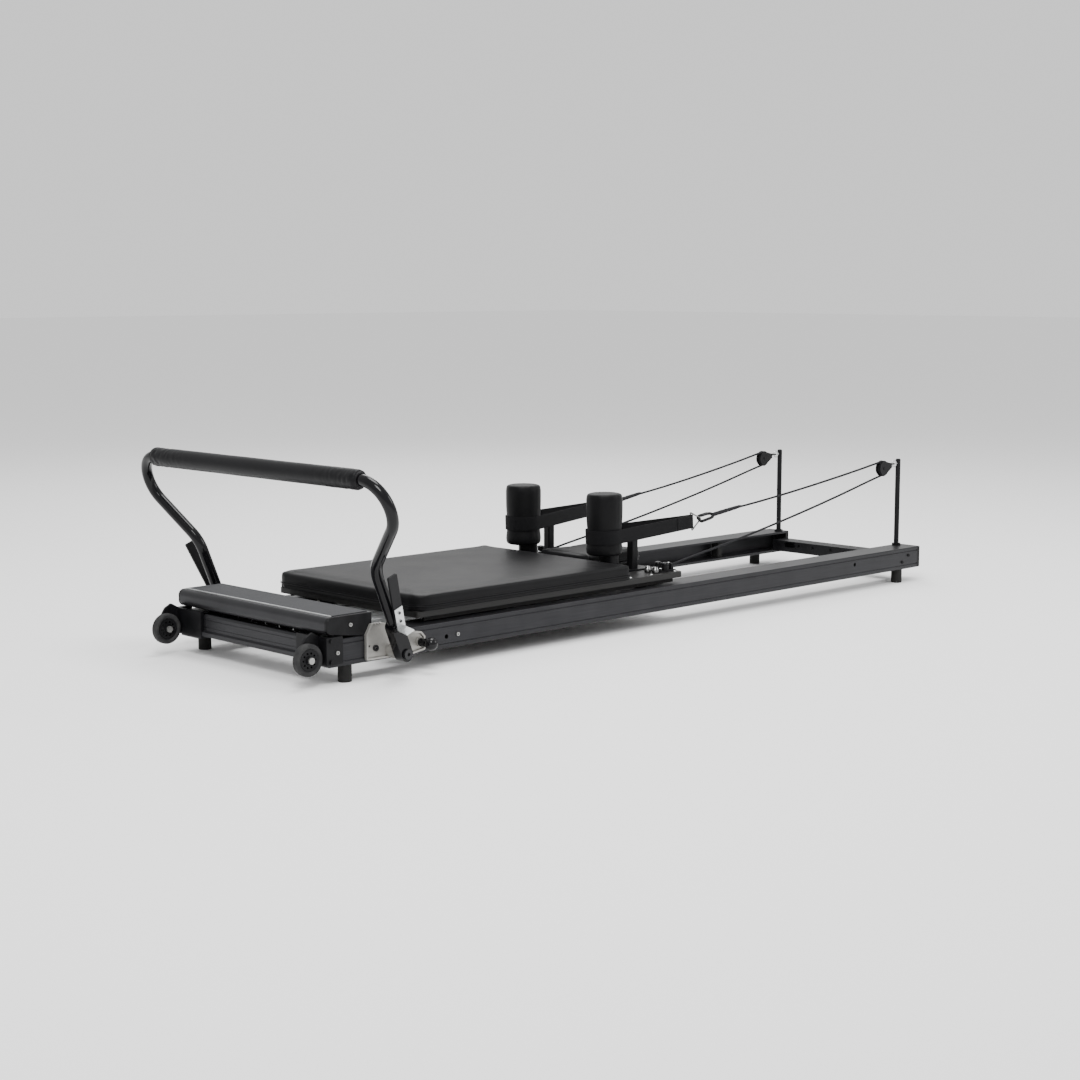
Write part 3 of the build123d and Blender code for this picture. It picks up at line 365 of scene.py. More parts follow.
CAD_DRESS = {
    "charcoal_anodised": ("rail_left", "rail_right", "front_cross_member", "platform_beam"),
    "powder_black": ("head_crossbar", "corner_brackets", "spring_bar", "risers", "lever_blocks",
                     "release_lever_left", "release_lever_right", "roller_hangers", "rest_stands",
                     "headrest_frame", "spring_anchor"),
    "gloss_black": ("footbar",),
    "cast_nickel": ("footbar_plates",),
    "zinc_steel": ("spring_pegs", "eye_bolts", "lever_leaf_left", "lever_leaf_right", "roller_axles"),
    "rail_fasteners": ("frame_bolts",),
    "blued_steel": ("carrier_bolts",),
    "moulded_black": ("rail_end_caps", "platform_end_caps", "wheel_hub_left", "wheel_hub_right",
                      "pulley_block_left", "pulley_block_right", "sheave_left", "sheave_right",
                      "rope_cleats"),
    "polished_black": ("pull_pin_left", "pull_pin_right"),
    "foot_rubber": ("feet", "carriage_stops"),
    "tyre_grey": ("wheel_tyre_left", "wheel_tyre_right"),
    "grip_mat": ("platform_mat",),
    "nylon_white": tuple(f"{kind}_{end}_{side}" for kind in ("track_wheel", "side_roller")
                         for end in ("foot", "head") for side in SIDES),
    "stained_board": ("carriage_base",),
}


class Wardrobe:
    """Builds each finish once and hands it out."""

    def __init__(self) -> None:
        """Start with nothing built."""
        self.made: dict[str, bpy.types.Material] = {}

    def get(self, name: str) -> bpy.types.Material:
        """The material of that name."""
        if name not in self.made:
            self.made[name] = FINISHES[name].build()
        return self.made[name]

    def dress_cad(self) -> None:
        """Give every visible CAD node its finish."""
        for name, nodes in CAD_DRESS.items():
            for node in nodes:
                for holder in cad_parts[node].material_slots:
                    holder.material = self.get(name)
            LOG.info("dressed %d nodes in %s", len(nodes), name)


# ------------------------------------------------------------------ mesh helpers
def to_object(name: str, mesh: bmesh.types.BMesh, material: bpy.types.Material, smooth: bool = True
              ) -> bpy.types.Object:
    """Turn a bmesh into an object at the origin.

    Args:
        name: the piece's name.
        mesh: the shape, which is freed.
        material: its finish.
        smooth: whether its faces are shaded smooth.

    Returns:
        The new object, linked to the scene.
    """
    bmesh.ops.remove_doubles(mesh, verts=mesh.verts, dist=1e-6)
    bmesh.ops.recalc_face_normals(mesh, faces=mesh.faces)
    for face in mesh.faces:
        face.smooth = smooth
    data = bpy.data.meshes.new(name)
    mesh.to_mesh(data)
    mesh.free()
    data.materials.append(material)
    made = bpy.data.objects.new(name, data)
    bpy.context.scene.collection.objects.link(made)
    return made


def place_piece(piece: bpy.types.Object, body: str, finish: str, *replaced: str) -> bpy.types.Object:
    """Ride a piece on its body and hide the nodes it stands for."""
    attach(piece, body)
    if replaced:
        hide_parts(*replaced)
    LOG.info("%s rides on %s", piece.name, body)
    return piece


def path_frames(points: Sequence[Vector], up: Vector) -> list[Matrix]:
    """A frame at each point: Z along the path, Y as near to up as it can be."""
    frames = []
    for index, point in enumerate(points):
        before = points[max(index - 1, 0)]
        after = points[min(index + 1, len(points) - 1)]
        ahead = (after - before).normalized()
        side = up.cross(ahead).normalized()
        turned = Matrix((side, ahead.cross(side), ahead)).transposed().to_4x4()
        frames.append(Matrix.Translation(point) @ turned)
    return frames


def extrude_ring(mesh: bmesh.types.BMesh, edges: list[bmesh.types.BMEdge], move: Matrix
                 ) -> tuple[list[bmesh.types.BMVert], list[bmesh.types.BMEdge]]:
    """Extrude a section's edges once and move the new ones.

    Args:
        mesh: the mesh that holds the section.
        edges: the section's edges.
        move: the step from the old place to the new one.

    Returns:
        The new vertices and the new section's edges.
    """
    grown = bmesh.ops.extrude_edge_only(mesh, edges=edges)["geom"]
    verts = [item for item in grown if isinstance(item, bmesh.types.BMVert)]
    lines = [item for item in grown if isinstance(item, bmesh.types.BMEdge)]
    edges = [line for line in lines if all(vert in verts for vert in line.verts)]
    bmesh.ops.transform(mesh, matrix=move, verts=verts)
    return verts, edges


def sweep(mesh: bmesh.types.BMesh, edges: list[bmesh.types.BMEdge], frames: Sequence[Matrix], closed: bool,
          cap: bool = True) -> None:
    """Extrude a section, drawn about the origin in XY, through frames, with a UV map in metres.

    Args:
        mesh: the mesh that holds the section.
        edges: the section's edges in order.
        frames: where the section goes.
        closed: whether the path's end joins its start.
        cap: whether a closed section's ends are filled.
    """
    along = mesh.verts.layers.float.new("along")
    verts = list({vert for edge in edges for vert in edge.verts})
    bmesh.ops.transform(mesh, matrix=frames[0], verts=verts)
    first, length = list(edges), 0.0
    for before, after in zip(frames, list(frames[1:]) + ([frames[0]] if closed else [])):
        verts, edges = extrude_ring(mesh, edges, after @ before.inverted())
        length += (after.translation - before.translation).length
        for vert in verts:
            vert[along] = length
    around = mesh.verts.layers.float["around"]
    uv = mesh.loops.layers.uv.new("UVMap")
    for face in mesh.faces:
        values = [loop.vert[around] for loop in face.loops]
        wraps = max(values) - min(values) > 0.5
        for loop, value in zip(face.loops, values):
            loop[uv].uv = (value + (1.0 if wraps and value < 0.5 else 0.0), loop.vert[along])
    if cap:
        bmesh.ops.holes_fill(mesh, edges=first + edges)


def tube(name: str, points: Sequence[Vector], radius: Callable[[float], float], material: bpy.types.Material,
         sides: int = 12, up: Vector = Vector((0.0, 1.0, 0.0))) -> bpy.types.Object:
    """A round tube along points.

    Args:
        name: the piece's name.
        points: its centre line.
        radius: the radius at a share of the path from 0 to 1.
        material: its finish.
        sides: how many faces go round it.
        up: a direction that the path never follows.

    Returns:
        The object.
    """
    mesh = bmesh.new()
    around = mesh.verts.layers.float.new("around")
    ring = bmesh.ops.create_circle(mesh, cap_ends=False, segments=sides, radius=1.0)["verts"]
    for index, vert in enumerate(ring):
        vert[around] = index / sides
    last = len(points) - 1
    turns = enumerate(path_frames(points, up))
    frames = [turn @ Matrix.Scale(radius(index / last), 4) for index, turn in turns]
    sweep(mesh, list(mesh.edges), frames, False)
    return to_object(name, mesh, material)


def lathe(mesh: bmesh.types.BMesh, profile: Sequence[tuple[float, float]], where: Matrix, steps: int) -> None:
    """Spin a profile of (radius, height) points about Z, then place it."""
    verts = [mesh.verts.new((radius, 0.0, height)) for radius, height in profile]
    edges = [mesh.edges.new(pair) for pair in zip(verts, verts[1:])]
    bmesh.ops.spin(mesh, geom=verts + edges, cent=(0, 0, 0), axis=(0, 0, 1), angle=math.tau, steps=steps,
                   use_merge=True)
    bmesh.ops.remove_doubles(mesh, verts=mesh.verts, dist=1e-7)
    bmesh.ops.transform(mesh, matrix=where, verts=[vert for vert in mesh.verts if not vert.tag])
    for vert in mesh.verts:
        vert.tag = True


def across(point: Sequence[float], outward: float = 1.0) -> Matrix:
    """A frame at a point whose Z lies along the machine's width."""
    return Matrix.Translation(point) @ Matrix.Rotation(-outward * math.pi / 2, 4, "X")


def apply_modifiers(piece: bpy.types.Object) -> None:
    """Replace a piece's mesh by what its modifiers make of it."""
    graph = bpy.context.evaluated_depsgraph_get()
    made = bpy.data.meshes.new_from_object(piece.evaluated_get(graph))
    piece.modifiers.clear()
    piece.data = made


def smooth_more(piece: bpy.types.Object) -> None:
    """Add one level of subdivision to a finished soft piece."""
    level = piece.modifiers.new("soften", "SUBSURF")
    level.levels = 1
    level.render_levels = 1


def swell(piece: bpy.types.Object, voxel: float, cap: float, pressure: float, pinned: Callable[[Vector], bool]
          ) -> None:
    """Blow a closed cover up a little, as stuffing does.

    Args:
        piece: a closed mesh slightly smaller than the pad.
        voxel: the size of the new mesh's faces.
        cap: how far a point may move.
        pressure: the stuffing's push.
        pinned: says which points stay where they are.
    """
    remesh = piece.modifiers.new("voxels", "REMESH")
    remesh.mode = "VOXEL"
    remesh.voxel_size = voxel
    remesh.use_smooth_shade = True
    apply_modifiers(piece)
    rest = [vert.co.copy() for vert in piece.data.vertices]
    group = piece.vertex_groups.new(name="held")
    group.add([index for index, point in enumerate(rest) if pinned(point)], 1.0, "REPLACE")
    cloth = piece.modifiers.new("stuffing", "CLOTH")
    cloth.settings.vertex_group_mass = "held"
    cloth.settings.use_pressure = True
    cloth.settings.uniform_pressure_force = pressure
    cloth.settings.effector_weights.gravity = 0.0
    for step in range(1, 21):
        bpy.context.scene.frame_set(step)
    apply_modifiers(piece)
    piece.vertex_groups.clear()
    bpy.context.scene.frame_set(1)
    for vert, start in zip(piece.data.vertices, rest):
        move = vert.co - start
        if move.length > cap:
            vert.co = start + move.normalized() * cap


def press(piece: bpy.types.Object, distance: Callable[[Vector], float], width: float, depth: float) -> None:
    """Sink a seam into a cover, where distance to it is under a few widths."""
    normals = [vert.normal.copy() for vert in piece.data.vertices]
    for vert, normal in zip(piece.data.vertices, normals):
        share = distance(vert.co) / width
        vert.co -= normal * (depth * math.exp(-share * share))


def stitches(name: str, points: Sequence[Vector], pitch: float, size: tuple[float, float],
             material: bpy.types.Material) -> bpy.types.Object:
    """Short raised threads along a seam.

    Args:
        name: the piece's name.
        points: the seam's line.
        pitch: distance from one stitch to the next.
        size: a stitch's length and thickness.
        material: the thread.

    Returns:
        The object.
    """
    mesh = bmesh.new()
    carried = 0.0
    for before, after in zip(points, points[1:]):
        gap = (after - before).length
        ahead = (after - before).normalized()
        while carried < gap:
            turn = ahead.to_track_quat("X", "Z").to_matrix().to_4x4()
            scale = Matrix.Diagonal((size[0] / 2, size[1] / 2, size[1] / 2, 1.0))
            where = Matrix.Translation(before + ahead * carried) @ turn @ scale
            bmesh.ops.create_icosphere(mesh, subdivisions=1, radius=1.0, matrix=where)
            carried += pitch
        carried -= gap
    return to_object(name, mesh, material)


# ------------------------------------------------------------------ padded pieces
@dataclass
class BlockPad:
    """A flat upholstered pad with rounded corners, a side seam and a flat underside."""

    node: str
    body: str
    foot_corner: float
    head_corner: float
    edge: float
    shrink: float
    cap: float
    voxel: float
    seam_share: float

    def outline(self, low: Vector, high: Vector, inset: float, height: float) -> list[Vector]:
        """Points round the pad at one height, inset from its sides."""
        corners = ((high.x, high.y, self.head_corner, 0), (low.x, high.y, self.foot_corner, 1),
                   (low.x, low.y, self.foot_corner, 2), (high.x, low.y, self.head_corner, 3))
        points = []
        for x, y, radius, quarter in corners:
            inward = math.copysign(radius, x - (low.x + high.x) / 2)
            centre = Vector((x - inward, y - math.copysign(radius, y), height))
            for step in range(9):
                angle = (quarter + step / 8) * math.pi / 2
                points.append(centre + Vector((math.cos(angle), math.sin(angle), 0.0)) * (radius - inset))
        return points + [points[0].copy()]

    def cover(self, wardrobe: Wardrobe) -> bpy.types.Object:
        """The stuffed cover."""
        low, high = (Vector(corner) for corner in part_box(self.node))
        mesh = bmesh.new()
        ring = self.outline(low, high, self.shrink, low.z)[:-1]
        bottom = mesh.faces.new([mesh.verts.new(point) for point in ring])
        grown = bmesh.ops.extrude_face_region(mesh, geom=[bottom])["geom"]
        rise = (0.0, 0.0, high.z - low.z - self.shrink)
        top_verts = [item for item in grown if isinstance(item, bmesh.types.BMVert)]
        bmesh.ops.translate(mesh, vec=rise, verts=top_verts)
        rim = [edge for edge in mesh.edges if all(vert in top_verts for vert in edge.verts)]
        bmesh.ops.bevel(mesh, geom=rim, offset=self.edge, segments=4, profile=0.5, affect="EDGES",
                        material=-1)
        pad = to_object(self.node + "_cover", mesh, wardrobe.get("black_vinyl"))
        floor = low.z + self.voxel * 0.6
        swell(pad, self.voxel, self.cap, 4.0, lambda point: point.z < floor)
        seam = low.z + (high.z - low.z) * self.seam_share
        press(pad, lambda point: abs(point.z - seam), 0.0022, 0.0018)
        for vert in pad.data.vertices:
            vert.co.z = max(vert.co.z, low.z)
        for polygon in pad.data.polygons:
            polygon.use_smooth = True
        smooth_more(pad)
        return pad

    def build(self, wardrobe: Wardrobe) -> None:
        """Make the cover, its welt and the stitches beside it."""
        low, high = (Vector(corner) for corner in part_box(self.node))
        pad = place_piece(self.cover(wardrobe), self.body, "black_vinyl", self.node)
        seam = low.z + (high.z - low.z) * self.seam_share
        line = self.outline(low, high, self.shrink + 0.0006, seam)
        welt = tube(self.node + "_welt", line, lambda share: 0.0012, wardrobe.get("sleeve_vinyl"), 8, UPWARD)
        place_piece(welt, self.body, "sleeve_vinyl")
        line = self.outline(low, high, self.shrink, seam + 0.0045)
        thread = stitches(self.node + "_stitches", line, 0.0052, (0.0036, 0.0008),
                          wardrobe.get("seam_thread"))
        place_piece(thread, self.body, "seam_thread")


@dataclass
class ShoulderRest:
    """An upright padded cylinder with a sewn round top."""

    side: str
    radius: float = 0.0498
    waist: float = 0.0034
    waist_share: float = 0.31
    waist_reach: float = 0.22
    round_edge: float = 0.011
    voxel: float = 0.0045
    top_seam: float = 0.0110

    def profile(self, height: float) -> list[tuple[float, float]]:
        """Half outline from the bottom's middle to the top's middle."""
        reach = self.radius - 0.0016
        points = [(0.0, 0.0), (reach * 0.5, 0.0)]
        for step in range(7):
            angle = -math.pi / 2 + step / 6 * math.pi / 2
            points.append((reach - self.round_edge + self.round_edge * math.cos(angle),
                           self.round_edge + self.round_edge * math.sin(angle)))
        for step in range(1, 12):
            share = step / 12
            place = self.round_edge + (height - 2 * self.round_edge) * share
            squeeze = math.exp(-((share - self.waist_share) / self.waist_reach) ** 2)
            points.append((reach - self.waist * squeeze * min(1.0, 6.0 * share), place))
        for step in range(7):
            angle = step / 6 * math.pi / 2
            points.append((reach - self.round_edge + self.round_edge * math.cos(angle),
                           height - self.round_edge + self.round_edge * math.sin(angle)))
        return points + [(reach * 0.5, height + 0.0006), (0.0, height + 0.0008)]

    def build(self, wardrobe: Wardrobe) -> None:
        """Make the cover, press its seams and pucker it beside the top seam."""
        node = f"shoulder_rest_{self.side}"
        low, high = (Vector(corner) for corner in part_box(node))
        centre = (low + high) / 2
        mesh = bmesh.new()
        lathe(mesh, self.profile(high.z - low.z - 0.002), Matrix.Translation((centre.x, centre.y, low.z)), 48)
        rest = to_object(node + "_cover", mesh, wardrobe.get("black_vinyl"))
        swell(rest, self.voxel, 0.0022, 3.0, lambda point: point.z < low.z + 0.004)
        seam_height = high.z - self.top_seam
        press(rest, lambda point: abs(point.z - seam_height), 0.0018, 0.0020)
        press(rest, lambda point: abs(point.z - low.z - self.top_seam), 0.0018, 0.0016)
        press(rest, lambda point: abs(point.x - centre.x) + (point.y > centre.y), 0.0016, 0.0014)
        for vert in rest.data.vertices:
            away = Vector((vert.co.x - centre.x, vert.co.y - centre.y))
            fade = math.exp(-abs(vert.co.z - seam_height) / 0.012)
            pucker = math.sin(9 * math.atan2(away.y, away.x)) * fade
            vert.co.xy += away.normalized() * (0.0004 * pucker) if away.length > 0.02 else Vector((0.0, 0.0))
        for polygon in rest.data.polygons:
            polygon.use_smooth = True
        smooth_more(rest)
        place_piece(rest, "carriage", "black_vinyl", node)


@dataclass
class BarGrip:
    """The padded sleeve on the footbar's cross tube, gathered at its ends."""

    thickness_share: float = 0.98
    gathers: float = 0.045
    steps: int = 260
    sides: int = 40

    def build(self, wardrobe: Wardrobe) -> None:
        """Make the sleeve and its end bindings."""
        low, high = (Vector(corner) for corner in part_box("footbar_grip"))
        centre = (low + high) / 2
        radius = (high.z - low.z) / 2 * self.thickness_share
        core = 0.0142
        points = [Vector((centre.x, low.y + (high.y - low.y) * step / self.steps, centre.z))
                  for step in range(self.steps + 1)]

        def swellings(share: float) -> float:
            """Radius along the sleeve: closed to the tube at both ends, then full."""
            end = min(share, 1.0 - share) * (high.y - low.y)
            rise = math.sqrt(max(0.0, 1.0 - (1.0 - min(end / 0.010, 1.0)) ** 2))
            return core + (radius - core) * rise

        sleeve = tube("footbar_sleeve", points, swellings, wardrobe.get("sleeve_vinyl"), self.sides,
                      Vector((0.0, 0.0, 1.0)))
        for vert in sleeve.data.vertices:
            end = min(vert.co.y - low.y, high.y - vert.co.y)
            away = Vector((vert.co.x - centre.x, 0.0, vert.co.z - centre.z))
            angle = math.atan2(away.z, away.x)
            fold = noise.noise(Vector((math.cos(angle) * 1.6, vert.co.y * 130.0, math.sin(angle) * 1.6)))
            soft = noise.noise(Vector((math.cos(angle) * 0.7, vert.co.y * 9.0, math.sin(angle) * 0.7 + 4.0)))
            crease = 0.0045 * fold * math.exp(-end / self.gathers) + 0.0004 * soft
            seam = math.exp(-((angle + 2.2) / 0.05) ** 2) * 0.0010
            if away.length > core + 0.002:
                vert.co += away.normalized() * (min(crease, 0.0003) - seam)
        place_piece(sleeve, "footbar_assembly", "sleeve_vinyl", "footbar_grip")
        mesh = bmesh.new()
        for sign, edge in ((-1, low.y), (1, high.y)):
            profile = [(0.0138, -0.004), (0.0175, -0.004), (0.0182, 0.0), (0.0175, 0.004), (0.0138, 0.004)]
            lathe(mesh, profile, across((centre.x, edge - sign * 0.002, centre.z)), 40)
        place_piece(to_object("sleeve_bindings", mesh, wardrobe.get("moulded_black")), "footbar_assembly",
                    "moulded_black")


# ------------------------------------------------------------------ straps, ropes, springs
@dataclass
class Tackle:
    """One side's strap, ring and ropes; lengths match the part's own layout."""

    side: str
    datum: float = 0.005
    rest_x: float = -0.053
    rest_y: float = 0.154
    strap_width: float = 0.0365
    strap_inner: float = 0.0476
    ring_inner: float = 0.0032
    ply: float = 0.0023
    ring_x: float = 0.264
    ring_y: float = 0.178
    sheave_x: float = 1.065
    sheave_y: float = 0.230
    sheave_z: float = 0.342
    turn: float = 0.020
    rope: float = 0.003
    cleat: tuple[float, float, float] = (0.128, 0.225, 0.144)
    hook_middle: float = 0.0562
    hook_reach: float = 0.088
    travel: float = 0.78

    @property
    def sign(self) -> int:
        """-1 on the left, 1 on the right."""
        return SIDES[self.side]

    @property
    def rest(self) -> Vector:
        """Middle of the strap's loop on the shoulder rest's axis."""
        return Vector((self.rest_x - self.datum, self.sign * self.rest_y, 0.233 if self.sign < 0 else 0.243))

    @property
    def ring(self) -> Vector:
        """Middle of the ring's bar."""
        return Vector((self.ring_x - self.datum, self.sign * self.ring_y, 0.246 if self.sign < 0 else 0.255))

    @property
    def sheave(self) -> Vector:
        """Centre of the pulley wheel."""
        return Vector((self.sheave_x - self.datum, self.sign * self.sheave_y, self.sheave_z))

    @property
    def upper_run(self) -> Vector:
        """Direction from the ring to the top of the pulley wheel."""
        return (self.sheave + UPWARD * self.turn - self.ring).normalized()

    def loop(self) -> tuple[list[Vector], Matrix]:
        """The strap's middle line in its own plane, and that plane."""
        run = self.ring - self.rest
        length = run.length
        big, small = self.strap_inner + self.ply / 2, self.ring_inner + self.ply / 2
        lean = math.acos((big - small) / length)
        points = [Vector((big * math.cos(angle), big * math.sin(angle), 0.0))
                  for angle in (lean + (math.tau - 2 * lean) * step / 40 for step in range(41))]
        low_start = points[-1]
        low_end = Vector((length + small * math.cos(lean), -small * math.sin(lean), 0.0))
        points += [low_start.lerp(low_end, step / 24) for step in range(1, 24)]
        points += [Vector((length + small * math.cos(angle), small * math.sin(angle), 0.0))
                   for angle in (-lean + 2 * lean * step / 10 for step in range(11))]
        high_start = points[-1]
        high_end = points[0]
        points += [high_start.lerp(high_end, step / 24) for step in range(1, 24)]
        ahead = run.normalized()
        over = Vector((0.0, 0.0, 1.0)).cross(ahead).normalized()
        plane = Matrix.Translation(self.rest) @ Matrix((ahead, over, ahead.cross(over))).transposed().to_4x4()
        return points, plane

    def band(self, name: str, points: Sequence[Vector], width: float, closed: bool, wardrobe: Wardrobe
             ) -> bpy.types.Object:
        """A flat webbing band along points, standing on edge, with rolled selvedges."""
        mesh = bmesh.new()
        around = mesh.verts.layers.float.new("around")
        section = []
        for index in range(9):
            share = index / 8
            vert = mesh.verts.new((0.0, (share - 0.5) * width, 0.0))
            vert[around] = share * width
            section.append(vert)
        edges = [mesh.edges.new(pair) for pair in zip(section, section[1:])]
        frames = []
        count = len(points)
        for index, point in enumerate(points):
            before = points[(index - 1) % count] if closed else points[max(index - 1, 0)]
            after = points[(index + 1) % count] if closed else points[min(index + 1, count - 1)]
            ahead = (after - before).normalized()
            up = Vector((0.0, 0.0, 1.0))
            side = up.cross(ahead).normalized()
            frames.append(Matrix.Translation(point) @ Matrix((side, up, ahead)).transposed().to_4x4())
        sweep(mesh, edges, frames, closed, cap=False)
        made = to_object(name, mesh, wardrobe.get("webbing_black"))
        thick = made.modifiers.new("ply", "SOLIDIFY")
        thick.thickness = self.ply
        thick.offset = 0.0
        rolled = made.modifiers.new("selvedge", "BEVEL")
        rolled.width = 0.0005
        rolled.segments = 2
        rolled.limit_method = "ANGLE"
        return made

    def build_strap(self, wardrobe: Wardrobe) -> None:
        """The loop, its sewn fold at the ring and the stitching across it."""
        points, plane = self.loop()
        strap = self.band(f"strap_{self.side}", points, self.strap_width, True, wardrobe)
        strap.data.transform(plane)
        place_piece(strap, "carriage", "webbing_black", *(("straps",) if self.sign < 0 else ()))
        length = (self.ring - self.rest).length
        gap = self.ring_inner + self.ply * 1.6
        fold = [Vector((length - 0.012 - 0.055 * step / 8, -gap - 0.055 * step / 8 * 0.13 - 0.0009, 0.0))
                for step in range(9)]
        patch = self.band(f"strap_fold_{self.side}", fold, self.strap_width - 0.001, False, wardrobe)
        patch.data.transform(plane)
        place_piece(patch, "carriage", "webbing_black")
        half = self.strap_width / 2 - 0.004
        rows = [[fold[1] + Vector((0.0, -0.0016, height)), fold[7] + Vector((0.0, -0.0016, height))]
                for height in (-half, half)]
        rows += [[fold[index] + Vector((0.0, -0.0016, -half)), fold[index] + Vector((0.0, -0.0016, half))]
                 for index in (1, 7)]
        rows.append([fold[1] + Vector((0.0, -0.0016, -half)), fold[7] + Vector((0.0, -0.0016, half))])
        for index, row in enumerate(rows):
            line = [plane @ point for point in row]
            thread = stitches(f"strap_thread_{self.side}_{index}", line, 0.0034, (0.0026, 0.0007),
                              wardrobe.get("seam_thread"))
            place_piece(thread, "carriage", "seam_thread")

    @staticmethod
    def smooth_line(points: Sequence[Vector], steps: int) -> list[Vector]:
        """Points read from the NURBS spline that a route's points control."""
        data = bpy.data.curves.new("route", "CURVE")
        data.dimensions = "3D"
        data.resolution_u = steps
        spline = data.splines.new("NURBS")
        spline.points.add(len(points) - 1)
        for control, point in zip(spline.points, points):
            control.co = (*point, 1.0)
        spline.order_u = 3
        spline.use_endpoint_u = True
        carrier = bpy.data.objects.new("route", data)
        bpy.context.scene.collection.objects.link(carrier)
        bpy.context.view_layer.update()
        flat = bpy.data.meshes.new_from_object(carrier)
        line = [vert.co.copy() for vert in flat.vertices]
        bpy.data.objects.remove(carrier)
        return line

    def sheave_point(self, angle: float, reach: float) -> Vector:
        """A point about the pulley wheel's centre, in its own plane."""
        turned = math.radians(angle)
        return self.sheave + Vector((math.cos(turned), 0.0, math.sin(turned))) * reach

    def build_ropes(self, wardrobe: Wardrobe) -> None:
        """The lower run to the cleat, and the upper run with its turn round the sheave."""
        corner = self.turn / math.cos(math.pi / 6)
        start = Vector((self.cleat[0] - self.datum, self.sign * self.cleat[1], self.cleat[2]))
        foot = self.sheave_point(-50.0, corner)
        leave = foot + (start - foot).normalized() * self.turn * math.tan(math.pi / 6)
        lower = [start, start.lerp(leave, 0.06)]
        lower += [start.lerp(leave, share) - Vector((0.0, 0.0, 0.010 * 4 * share * (1 - share)))
                  for share in (0.25, 0.5, 0.75)]
        lower += [start.lerp(leave, 0.96), leave]
        line = self.smooth_line(lower, 14)
        rope = tube(f"rope_lower_{self.side}", line, lambda share: self.rope, wardrobe.get("braided_black"))
        place_piece(rope, "frame", "braided_black", f"rope_{self.side}")
        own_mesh(rope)
        top = self.sheave + Vector((0.0, 0.0, self.turn))
        run = self.upper_run
        end = self.ring + run * self.hook_reach
        crown = self.sheave_point(70.0, corner)
        upper = [end, end.lerp(crown, 0.08)]
        upper += [end.lerp(crown, share) - Vector((0.0, 0.0, 0.006 * 4 * share * (1 - share)))
                  for share in (0.3, 0.55, 0.8)]
        upper += [crown + (end - crown).normalized() * 2 * self.turn * math.tan(math.pi / 6), crown,
                  self.sheave_point(10.0, corner), foot, leave]
        line = self.smooth_line(upper, 14)
        rope = tube(f"rope_upper_{self.side}", line, lambda share: self.rope, wardrobe.get("braided_black"))
        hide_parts(f"rope_{self.side}")
        fixed = end + run * 0.112
        sleeve_line = [end - run * 0.006 + run * 0.118 * step / 30 for step in range(31)]
        sleeve = tube(f"rope_whipping_{self.side}", sleeve_line,
                      lambda share: 0.0056 - 0.0016 * share ** 3 + 0.0002 * math.sin(share * 150.0)
                      - 0.0022 * max(0.0, share - 0.9) * 10, wardrobe.get("braided_black"), 14)
        place_piece(sleeve, "carriage", "braided_black")
        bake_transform(rope, "frame", "carriage", start=top, end=fixed)


@dataclass
class SpringSet:
    """Close-wound extension springs under the carriage."""

    wire: float = 0.0014
    pitch: float = 0.0036
    coil: float = 0.0114
    hook_gap: float = 0.012
    hook_radius: float = 0.0075
    count: int = 5
    peg_radius: float = 0.007

    def build(self, wardrobe: Wardrobe) -> None:
        """Make each spring's coil and end hooks."""
        low, high = (Vector(corner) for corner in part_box("springs"))
        pegs_low, pegs_high = (Vector(corner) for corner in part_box("spring_pegs"))
        first = pegs_low.y + self.peg_radius
        last = pegs_high.y - self.peg_radius
        for index in range(self.count):
            y = first + (last - first) * index / (self.count - 1)
            spring = self.coil_mesh(index, low, high, y, wardrobe)
            if index == 0:
                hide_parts("springs")
            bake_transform(spring, "frame", "carriage", start=(low.x + 0.004, y, low.z),
                     end=(high.x - 0.004, y, low.z))
            LOG.info("spring %d spans the frame and the carriage", index)

    def coil_mesh(self, index: int, low: Vector, high: Vector, y: float, wardrobe: Wardrobe
                  ) -> bpy.types.Object:
        """One coil, wound by spinning the wire's section."""
        mesh = bmesh.new()
        length = high.x - low.x - 2 * self.hook_gap
        turns = length / self.pitch
        steps = int(turns * 9)
        wire = bmesh.ops.create_circle(mesh, cap_ends=False, segments=5, radius=self.wire)["verts"]
        turn = Matrix.Translation((0.0, self.coil, 0.0)) @ Matrix.Rotation(math.pi / 2, 4, "Y")
        bmesh.ops.transform(mesh, matrix=Matrix.Rotation(math.pi / 2, 4, "X") @ turn, verts=wire)
        middle = (low.z + high.z) / 2
        centre = (low.x + self.hook_gap, y, middle)
        bmesh.ops.transform(mesh, matrix=Matrix.Translation(centre), verts=wire)
        bmesh.ops.spin(mesh, geom=wire + list(mesh.edges), cent=centre, axis=(1, 0, 0),
                       dvec=(length / steps, 0, 0), angle=math.tau * turns, steps=steps)
        for start, ahead in ((low.x + self.hook_gap, -1), (high.x - self.hook_gap, 1)):
            angles = [math.tau * step / 16 * 0.8 for step in range(17)]
            hook = [Vector((start + ahead * (0.004 + self.hook_radius * math.sin(angle)), y,
                            middle - self.hook_radius * math.cos(angle))) for angle in angles]
            frames = [turned @ Matrix.Scale(self.wire, 4) for turned in path_frames(hook, ACROSS)]
            self.add_wire(mesh, frames)
        return to_object(f"spring_{index}", mesh, wardrobe.get("zinc_steel"))

    @staticmethod
    def add_wire(mesh: bmesh.types.BMesh, frames: Sequence[Matrix]) -> None:
        """Extrude a wire section through frames, for a hook."""
        ring = bmesh.ops.create_circle(mesh, cap_ends=False, segments=6, radius=1.0)["verts"]
        edges = list({edge for vert in ring for edge in vert.link_edges})
        bmesh.ops.transform(mesh, matrix=frames[0], verts=ring)
        for before, after in zip(frames, frames[1:]):
            edges = extrude_ring(mesh, edges, after @ before.inverted())[1]


